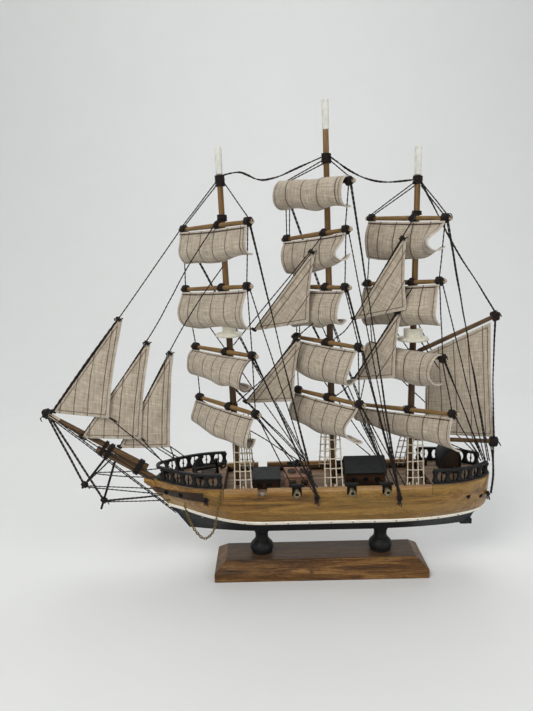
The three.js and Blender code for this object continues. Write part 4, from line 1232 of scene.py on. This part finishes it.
def guns():
    """Black block carriages with a stepped back, and brass barrels that reach out through the ports."""
    for side, sign in SIDES:
        for number, x in zip(("fore", "mid", "aft"), PORTS[1:]):
            wall = half_breadth(x, DECK_Z) - WALL
            low, front = DECK_Z + PLANK, wall - 0.6
            back = front - 9
            steps = [(front, 0), (front, 7.2), (front - 0.6, 7.8), (front - 3, 7.8), (front - 3.2, 6.4),
                     (front - 5.6, 6.2),
                     (front - 5.8, 4.6), (back, 4.2), (back, 0)]
            block = facing(skin([[V(x + w, sign * y, low + z) for y, z in steps] for w in (-5, 5)]), sign > 0)
            carriage = bevelled(make_mesh(f"gun_carriage_{side}_{number}", *block, LOOK["black_paint"]), 0.35)
            if side == "port":
                stand_for(carriage, f"cannon_port_{number}")
            trucks = Pile()
            for dx in (-5.3, 4.9):
                for behind in (2.2, 7):
                    trucks.add(*turned([(0.3, 0), (1.25, 0), (1.4, 0.15), (1.4, 0.35), (0.3, 0.4)],
                                       V(x + dx, sign * (front - behind), low + 1.5), (1, 0, 0), 18))
            trucks.make(f"gun_trucks_{side}_{number}", "iron")
            reach = 4.2 if side == "port" else 2.4
            mouth = wall + WALL + reach
            barrel = [(1.9, -0.4), (1.9, 2.6), (2.1, 2.8), (2.1, 3.3), (1.8, 3.6)]
            muzzle = ((1.7, 1.8), (2.0, 1.5), (2.35, 1.2), (2.5, 0.8), (2.5, 0.3), (2.25, 0), (1.2, 0),
                      (1.05, 0.2), (1.0, 2.4))
            barrel += [(radius, mouth - front - behind) for radius, behind in muzzle]
            lathed(f"gun_barrel_{side}_{number}", barrel, V(x, sign * front, low + 3.4), "gun_brass",
                   (0, sign, 0))
            # Painted shade: a black disc inside the muzzle stands for the dark of the bore.
            lathed(f"gun_bore_shade_{side}_{number}", [(0.2, 0), (1.02, 0), (1.02, 0.1), (0.2, 0.1)],
                   V(x, sign * (mouth - 0.7), low + 3.4), "black_paint", (0, sign, 0), 20)


def anchor_and_chain():
    def placed(points):
        a, b = math.radians(8), math.radians(35)
        rz = np.array([[math.cos(a), -math.sin(a), 0], [math.sin(a), math.cos(a), 0], [0, 0, 1]])
        rx = np.array([[1, 0, 0], [0, math.cos(b), -math.sin(b)], [0, math.sin(b), math.cos(b)]])
        return 1.12 * np.asarray(points) @ rz.T @ rx.T + V(-81, -3, 80.6)

    def forge(points, faces, grain=None):
        """Adds a shape that was made about the anchor's own shank."""
        iron.add(placed(points), faces, grain)

    iron = Pile()
    for start, end, r0, r1 in ((V(-9, 0, 0), V(9, 0, 0), 1.5, 1.15),
                               (V(6.4, 0, -6.4), V(6.4, 0, 6.4), 0.95, 0.95)):
        forge(*rod(start, end, r0, r1, 16))
    for z in (-6.6, 6.6):
        forge(*turned([(0.4, -1.1), (1.0, -0.7), (1.15, 0), (1.0, 0.7), (0.4, 1.1)], V(6.4, 0, z), sides=16))
    arms = [V(8.2 * math.cos(a), 8.2 * math.sin(a), 0) for a in np.linspace(math.pi - 1.05, math.pi + 1.05,
                                                                            15)]
    forge(*strand(arms, 1.5, 0.8, 12, lay=200))
    for side in (-1, 1):
        palm = [V(-5.4, side * 4.9, -2.7), V(-5.4, side * 4.9, 2.7), V(-1.4, side * 8.6, 0)]
        offset = V(0.5, side * 0.4, 0)
        forge(*skin([[p - offset for p in palm], [p + offset for p in palm]]))
    ring = [V(10.2, 0, 0) + 1.9 * V(math.cos(a), math.sin(a), 0) for a in np.linspace(0, 2 * math.pi, 21)]
    forge(*strand(ring, 0.6, 0.6, lay=200))
    stand_for(iron.make("anchor_wrought", "iron"), "anchor")

    route = smooth_line([V(-68.4, -26.2, 74.2), V(-70, -27.6, 68), V(-72.2, -27.4, 58.6),
                         V(-74.8, -26.6, 45.2),
                         V(-78.4, -26, 39), V(-83, -25.4, 36.9), V(-88, -24.6, 41.6), V(-92.1, -24.2, 49.4),
                         V(-94.9, -23.4, 59.1), V(-95.2, -22.9, 63)], 0.4)
    along = lengths_along(route)
    links, pitch = Pile(), 1.75
    for i in range(int(along[-1] / pitch)):
        centre = np.array([np.interp((i + 0.5) * pitch, along, route[:, k]) for k in range(3)])
        ahead = np.array([np.interp((i + 0.5) * pitch + 0.6, along, route[:, k]) for k in range(3)])
        run = unit(ahead - centre)
        flat = unit(np.cross(run, V(0, 1, 0.2)))
        wide = flat if i % 2 else np.cross(run, flat)
        loop = [centre + 1.3 * math.cos(a) * run + 0.85 * math.sin(a) * wide for a in np.linspace(0,
                                                                                                  2 * math.pi,
                                                                                                  13)]
        links.add(*strand(loop, 0.34, 0.5, 6, lay=200))
    links.make("anchor_chain", "brass")


# ------------------------------------------------------------------ masts and spars
def mast_pieces():
    for mast, (foot, head) in MASTS.items():
        low = on_mast(mast, DECK_Z - 7.5)
        pole = grained(f"{mast}_mast_pole", rod(low, head, MAST_R, MAST_HEAD_R, 28), "mast_wood")
        stand_for(pole, f"{mast}_mast")
    for mast, z, brim, drum in (("fore", 175.4, 9.4, 4.6), ("mizzen", 169.4, 10.8, 6.5)):
        profile = [(brim - 0.4, 0), (brim, 0.4), (brim, 1.8), (brim - 0.4, 2.2), (drum + 0.3, 2.3),
                   (drum, 2.7), (drum, 7.4),
                   (drum + 0.25, 7.7), (drum + 0.1, 8.2), (1.0, 8.3)]
        lathed(f"{mast}_mast_top", profile, on_mast(mast, z), "drum_paint", sides=48)


def spars():
    start = BOWSPRIT[0] + SPAR_WAY * 17.7 + SPAR_UP * 5.4
    for name, a, b, r0, r1 in (("bowsprit", *BOWSPRIT, 2.4, 2.4),
                               ("jib_boom", start, start + SPAR_WAY * 80, 2.4, 1.7)):
        stand_for(grained(name + "_dowel", rod(a, b, r0, r1, 28), "spar_wood"), name)
    tip = rod(start + SPAR_WAY * 71, start + SPAR_WAY * 80.4, 1.86, 1.78, 24)
    grained("jib_boom_bare_tip", tip, "bare_wood")
    sticks = Pile()
    for dy in (-1.1, 1.1):
        low = STRIKER_LONG + V(0, dy * 0.6, 0)
        sticks.add(*rod(V(-154.4, dy, 88.6), low + V(-1.3, 0, -1.7), 0.85, sides=14))
    sticks.add(*rod(V(-148, 0, 85.3), STRIKER_SHORT + V(-2.1, 0, -6.2), 0.85, sides=14))
    sticks.make("strikers", "black_paint")
    for name, a, b in (("gaff", GAFF_JAW, GAFF_PEAK), ("boom", BOOM_JAW, BOOM_END)):
        stand_for(grained(name + "_dowel", rod(a, b, 1.6, 1.5, 24), "spar_wood", "spanker_rig"), name)


def yards():
    for mast in YARDS:
        for yard in yards_of(mast):
            name = f"{mast}_yard_{yard.number}"
            ends = yard.at(-yard.starboard), yard.at(yard.port)
            middle = yard.at((yard.port - yard.starboard) / 2)
            pile = Pile()
            for end in ends:
                pile.add(*rod(middle - unit(end - middle) * 0.2, end, YARD_R, YARD_TIP_R, 20))
            stand_for(pile.make(name + "_dowel", "yard_wood", yard.body), name)
            tips = Pile()
            for end, sign in zip(ends, (-1, 1)):
                tips.add(*rod(end - yard.along * sign * 1.5, end + yard.along * sign * 0.15,
                              YARD_TIP_R + 0.12, sides=18))
            tips.make(name + "_tips", "bare_wood", yard.body)


# ------------------------------------------------------------------ sails
CLOTH_T = 0.5


def cloth(name, grid, across, along, hem, body, pitch):
    """A thin sheet from a grid of points. across and along are its flat measures, hem the distance to a hemmed edge."""
    down, wide = np.gradient(grid, axis=(0, 1))
    normal = np.cross(wide, down)
    normal /= np.maximum(np.linalg.norm(normal, axis=2), 1e-9)[:, :, None]
    thick = (CLOTH_T / 2 + 0.16 * (hem < 2.3))[:, :, None]
    front, back = grid + normal * thick, grid - normal * thick
    rows, count = grid.shape[:2]
    total = rows * count
    faces = []
    for i in range(rows - 1):
        for j in range(count - 1):
            a, b, c, d = i * count + j, i * count + j + 1, (i + 1) * count + j + 1, (i + 1) * count + j
            faces += [[a, d, c, b], [a + total, b + total, c + total, d + total]]
    rim = list(range(count)) + [i * count + count - 1 for i in range(1, rows)]
    rim += [(rows - 1) * count + j for j in range(count - 2, -1, -1)] + [i * count for i in range(rows - 2, 0,
                                                                                                  -1)]
    for a, b in zip(rim, rim[1:] + rim[:1]):
        faces.append([a, b, b + total, a + total])
    points = np.concatenate([front.reshape(-1, 3), back.reshape(-1, 3)])
    flat = np.stack([across, along, np.zeros_like(across)], 2).reshape(-1, 3)
    extra = {"stripe": np.tile((across / pitch).ravel(), 2), "hem": np.tile(hem.ravel(), 2)}
    return make_mesh(name, points, faces, LOOK["sailcloth"], body, np.concatenate([flat, flat]), True, extra)


# Cloth length below the yard and the share of it that the starboard end has; how the cloth runs from straight down,
# in degrees, towards the bow at the yard and halfway down, and back towards the mast at the foot (starboard end,
# port end); stripe pitch; and pulls: (across, down, reach across, reach down, along the yard, ahead, up).
SQUARE_SAILS = {
    "fore": (
        (26, 0.95, 20, 12, -64, -108, 12.6, ()),
        (31, 0.95, 26, 16, -72, -74, 12.0, ((0, 0.6, 0.2, 0.4, -1.5, 0, 0),)),
        (36, 0.62, 66, 14, -64, -140, 10.2, ((1, 0.6, 0.2, 0.3, -2, 1, 0),)),
        (36, 0.62, 40, 18, -70, -170, 9.8, ((0, 0.8, 0.25, 0.4, -2, 0, 0),)),
    ),
    "main": (
        (36, 0.96, 100, 4, -100, -104, 13.2, ((0, 0.5, 0.12, 0.5, -2, 0, 0),)),
        (30, 0.84, 34, 12, -60, -124, 12.0, ((1, 0.5, 0.16, 0.22, -3, 3, 0), (1, 1, 0.2, 0.28, 1, 0, 5))),
        (34, 0.95, 42, 10, -74, -142, 10.4, ((1, 0.6, 0.16, 0.4, -2, 1, 0),)),
        (38, 0.68, 54, 16, -58, -132, 12.0, ((1, 0.75, 0.16, 0.25, -2, 1, 0),)),
        (34, 0.72, 46, 16, -64, -98, 11.2, ((1, 0.5, 0.16, 0.3, -5, 1, 0), (1, 1, 0.16, 0.25, 3, 0, 0))),
    ),
    "mizzen": (
        (31, 0.88, 24, 10, -48, -98, 12.6, ((1, 0.5, 0.16, 0.26, -5, 8, 1), (1, 0.95, 0.16, 0.2, 0, -3, 7))),
        (33, 1, 34, 14, -66, -84, 12.2, ((0.7, 0.6, 0.5, 0.16, 0, 2.4, 0),)),
        (39, 1, 98, 2, -88, -92, 12.4, ((1, 0.5, 0.12, 0.35, -4, 1, 0),)),
        (30, 0.38, 44, 8, -58, -84, 11.6, ((0, 0.8, 0.2, 0.4, -2, 0, 0), (1, 1, 0.16, 0.3, 4, 0, 0))),
    ),
}


def smooth_step(low, high, value):
    t = np.clip((value - low) / (high - low), 0, 1)
    return t * t * (3 - 2 * t)


def square_sail(mast, yard):
    """Cloth that leaves its yard forwards, falls, and curls back at the foot, with a few pulls of its own."""
    number = yard.number
    length, port_share, top, middle, foot_left, foot_right, pitch, pulls = SQUARE_SAILS[mast][number - 1]
    wraps = top > 90
    left, right = -yard.starboard + 3.2, yard.port - 3.6
    columns, rows = int((right - left) / 1.0) + 1, int(length / 0.8) + 1
    u, v = np.meshgrid(np.linspace(0, 1, columns), np.linspace(0, 1, rows))
    seed = number * 1.7 + len(mast)
    foot = lerp(float(foot_left), float(foot_right), smooth_step(0.35, 1.0, u))
    lean = lerp(float(top), float(middle), smooth_step(0, 0.5, v)) + (foot - middle) * smooth_step(0.42, 1.05,
                                                                                                   v)
    lean = np.radians(lean) + 0.1 * v * np.sin(5.5 * u + seed) + 0.06 * np.sin(11 * u + 3 * v + seed * 2)
    step = length / (rows - 1) * lerp(port_share, 1.0, u)
    ahead = np.cumsum(np.sin(lean) * step, axis=0)
    down = np.cumsum(np.cos(lean) * step, axis=0)
    ahead, down = ahead - ahead[0], down - down[0]
    ahead = (0.6 if wraps else 2.1) + ahead * (0.85 + 0.15 * np.sin(math.pi * u))
    down = (-2.4 if wraps else 1.9) + down + 0.7 * np.sin(math.pi * u) * (1 - v) ** 3
    run = lerp(left, right, u) + 0.35 * np.sin(9 * v + seed) * (np.abs(u - 0.5) * 2) ** 4
    ahead += 0.25 * np.sin(17 * u + 2 * v + seed) * v
    for u0, v0, wide, deep, d_along, d_ahead, d_up in pulls:
        near = np.exp(-((u - u0) / wide) ** 2 - ((v - v0) / deep) ** 2)
        run, ahead, down = run + near * d_along, ahead + near * d_ahead, down - near * d_up
    ahead = np.maximum(ahead, -1.2 + (1 - v) * 1.8)
    grid = (yard.centre + run[:, :, None] * yard.along + ahead[:, :, None] * yard.ahead
            - down[:, :, None] * yard.up)
    width = right - left
    across, along = u * width, v * length
    hem = np.minimum(np.minimum(along, length - along + 0.4), np.minimum(across, width - across) + 0.2)
    piece = cloth(f"{mast}_sail_{number}_cloth", grid, across + 2.4, along, hem, yard.body, pitch)
    stand_for(piece, f"{mast}_sail_{number}")
    seam = [grid[2, j] + yard.ahead * (0.5 + 0.15 * (-1) ** j) for j in range(0, columns, 2)]
    thread(f"{mast}_sail_{number}_stitching", seam, yard.body, 0.24, wander=0)


# Corners of each fore-and-aft sail: head, tack (fore and low), clew (aft and low); belly; how its stripes run.
THREE_CORNERED = {
    "jib_1": (V(-137.4, 0, 190.4), V(-190, 0, 123.2), V(-148, -7.5, 120.2), 2.5, "leech"),
    "jib_2": (V(-118.6, 0, 173.2), V(-170.4, -3.6, 105), V(-127, -5, 103.6), 2.5, "leech"),
    "jib_3": (V(-102.9, 0, 165.6), V(-144.2, -1, 96), V(-106.8, -3, 96.4), 2.5, "leech"),
    "staysail_1": (V(-3.2, -8.5, 233.4), V(-45.1, -2, 179), V(-6.6, -8, 185.1), 2.5, "luff"),
    "staysail_2": (V(-13.9, -5, 174), V(-52.6, -3, 127.8), V(-17.5, -8, 129.7), 2.5, "luff"),
    "staysail_3": (V(56.9, -11, 241), V(24.1, -3, 185), V(58.4, -15, 192.7), 2.5, "luff"),
    "staysail_4": (V(54.5, -10, 191.8), V(24.5, -3, 142.5), V(51.8, -13, 145.8), 2.5, "luff"),
}


def edge_distance(points, start, end):
    run = unit(end - start)
    away = points - start
    return np.linalg.norm(away - (away @ run)[..., None] * run, axis=-1)


def flat_sail(name, luff_top, leech_top, tack, clew, belly, stripes, body, pitch):
    rows, columns = int(np.linalg.norm(luff_top - tack)) + 2, int(np.linalg.norm(clew - tack)) + 2
    u, v = (part[:, :, None] for part in np.meshgrid(np.linspace(0, 1, columns), np.linspace(0, 1, rows)))
    flat = lerp(lerp(luff_top, leech_top, u), lerp(tack, clew, u), v)
    normal = unit(np.cross(clew - tack, luff_top - tack))
    if normal[1] > 0:
        normal = -normal
    run = unit(leech_top - clew) if stripes == "leech" else unit(luff_top - tack)
    side = np.cross(normal, run)
    across, along = (flat - clew) @ side, (flat - clew) @ run
    if stripes == "leech":
        across = across + 2.3 + pitch * 0.22
    edges = [(luff_top, tack), (tack, clew), (leech_top, clew)]
    if np.linalg.norm(leech_top - luff_top) > 6:
        edges.append((luff_top, leech_top))
    hem = np.min([edge_distance(flat, start, end) for start, end in edges], axis=0)
    seed = clew[0] * 0.1
    out = belly * np.sin(math.pi * u) * np.sin(math.pi * v ** 1.4)
    out = out + 0.5 * np.sin(4 * v + 5 * u + seed) * u * v + 0.9 * (u ** 6) * np.sin(5 * v + seed)
    grid = flat + out * normal
    grid[:, :, 0] += -1.2 * (np.sin(math.pi * v) * u ** 4)[:, :, 0]
    piece = cloth(name + "_cloth", grid, across, along, hem, body, pitch)
    stand_for(piece, name)
    return grid


def sails():
    for mast in YARDS:
        for yard in yards_of(mast):
            square_sail(mast, yard)
    knots = []
    for name, (head, tack, clew, belly, stripes) in THREE_CORNERED.items():
        leech = unit(head - clew)
        across = unit(clew - tack)
        grid = flat_sail(name, head, head + across * 1.6 - leech * 0.5, tack, clew, belly, stripes, "root",
                         10.4)
        luff = unit(head - tack)
        knots.append(whipping(head - luff * 1.6, luff, 0.9, 1.8, layers=2, tail=1.4))
        knots.append(whipping(tack + luff * 1.2, luff, 0.7, 1.2, layers=2))
        knots.append([head + V(-2.2, -0.6, 0.3), head + V(0, -0.8, -1.2), head + V(2.4, -0.7, -0.6)])
        stitches = [p + V(0, -0.45 - 0.12 * (i % 2), 0) for i, p in enumerate(grid[::3, 0])]
        knots.append(stitches)
    lashings("sail_corner_knots", knots, "root")
    thread("luff_rope_jib_1",
           [V(-192.6, -0.3, 120.6), V(-190.4, -0.3, 123.6), V(-164.4, -1.2, 157.4), V(-137.4, -0.3, 191)],
           radius=0.75, wander=0)
    flat_sail("spanker", V(76.4, 0, 160.6), V(120.6, 0, 180.8), V(76.4, 0, 101.4), V(126.4, 0, 97.6), 3,
              "leech",
              "spanker_rig", 10.4)


# ------------------------------------------------------------------ floor and light
def studio():
    sweep = [(-1600, 0), (500, 0)]
    sweep += [(500 + 900 * math.sin(a), 900 * (1 - math.cos(a))) for a in np.linspace(0, math.pi / 2, 25)[1:]]
    sweep.append((1400, 3500))
    points, faces = skin([[V(x, y, z) for y, z in sweep] for x in (-3500, 3500)], closed=False, caps=False)
    make_mesh("backdrop", points, faces, LOOK["backdrop"], body=None)
    world = bpy.data.worlds.new("studio")
    world.use_nodes = True
    nodes, links = world.node_tree.nodes, world.node_tree.links
    way = nodes.new("ShaderNodeTexCoord").outputs["Generated"]
    height = nodes.new("ShaderNodeSeparateXYZ")
    links.new(way, height.inputs[0])
    fade = nodes.new("ShaderNodeValToRGB")
    links.new(height.outputs[2], fade.inputs[0])
    for step, (position, colour) in zip(fade.color_ramp.elements,
                                        ((0.0, (0.8, 0.81, 0.81, 1)), (0.6, (0.6, 0.615, 0.612, 1)))):
        step.position, step.color = position, colour
    back = nodes["Background"]
    links.new(fade.outputs[0], back.inputs[0])
    back.inputs[1].default_value = 0.69
    SCENE.world = world
    soft_light("key", (-0.7, -1.1, 1.5), (0, 0, 0.12), 0.9, 17, (1.0, 0.98, 0.95))
    soft_light("fill", (1.2, -0.9, 0.9), (0, 0, 0.12), 1.1, 6, (0.97, 0.98, 1.0))
    soft_light("top", (0.1, 0.5, 1.6), (0, 0, 0.1), 1.2, 8, (1, 1, 1))
    SCENE.view_settings.view_transform = "Standard"


make_looks()
make_camera()
rigging()
stand()
hull()
painted_strip()
bulwarks()
bow_and_stern_trim()
balustrades()
fore_house()
main_house()
poop_cabin()
cargo_hatch()
small_fittings()
guns()
anchor_and_chain()
mast_pieces()
spars()
yards()
sails()
studio()
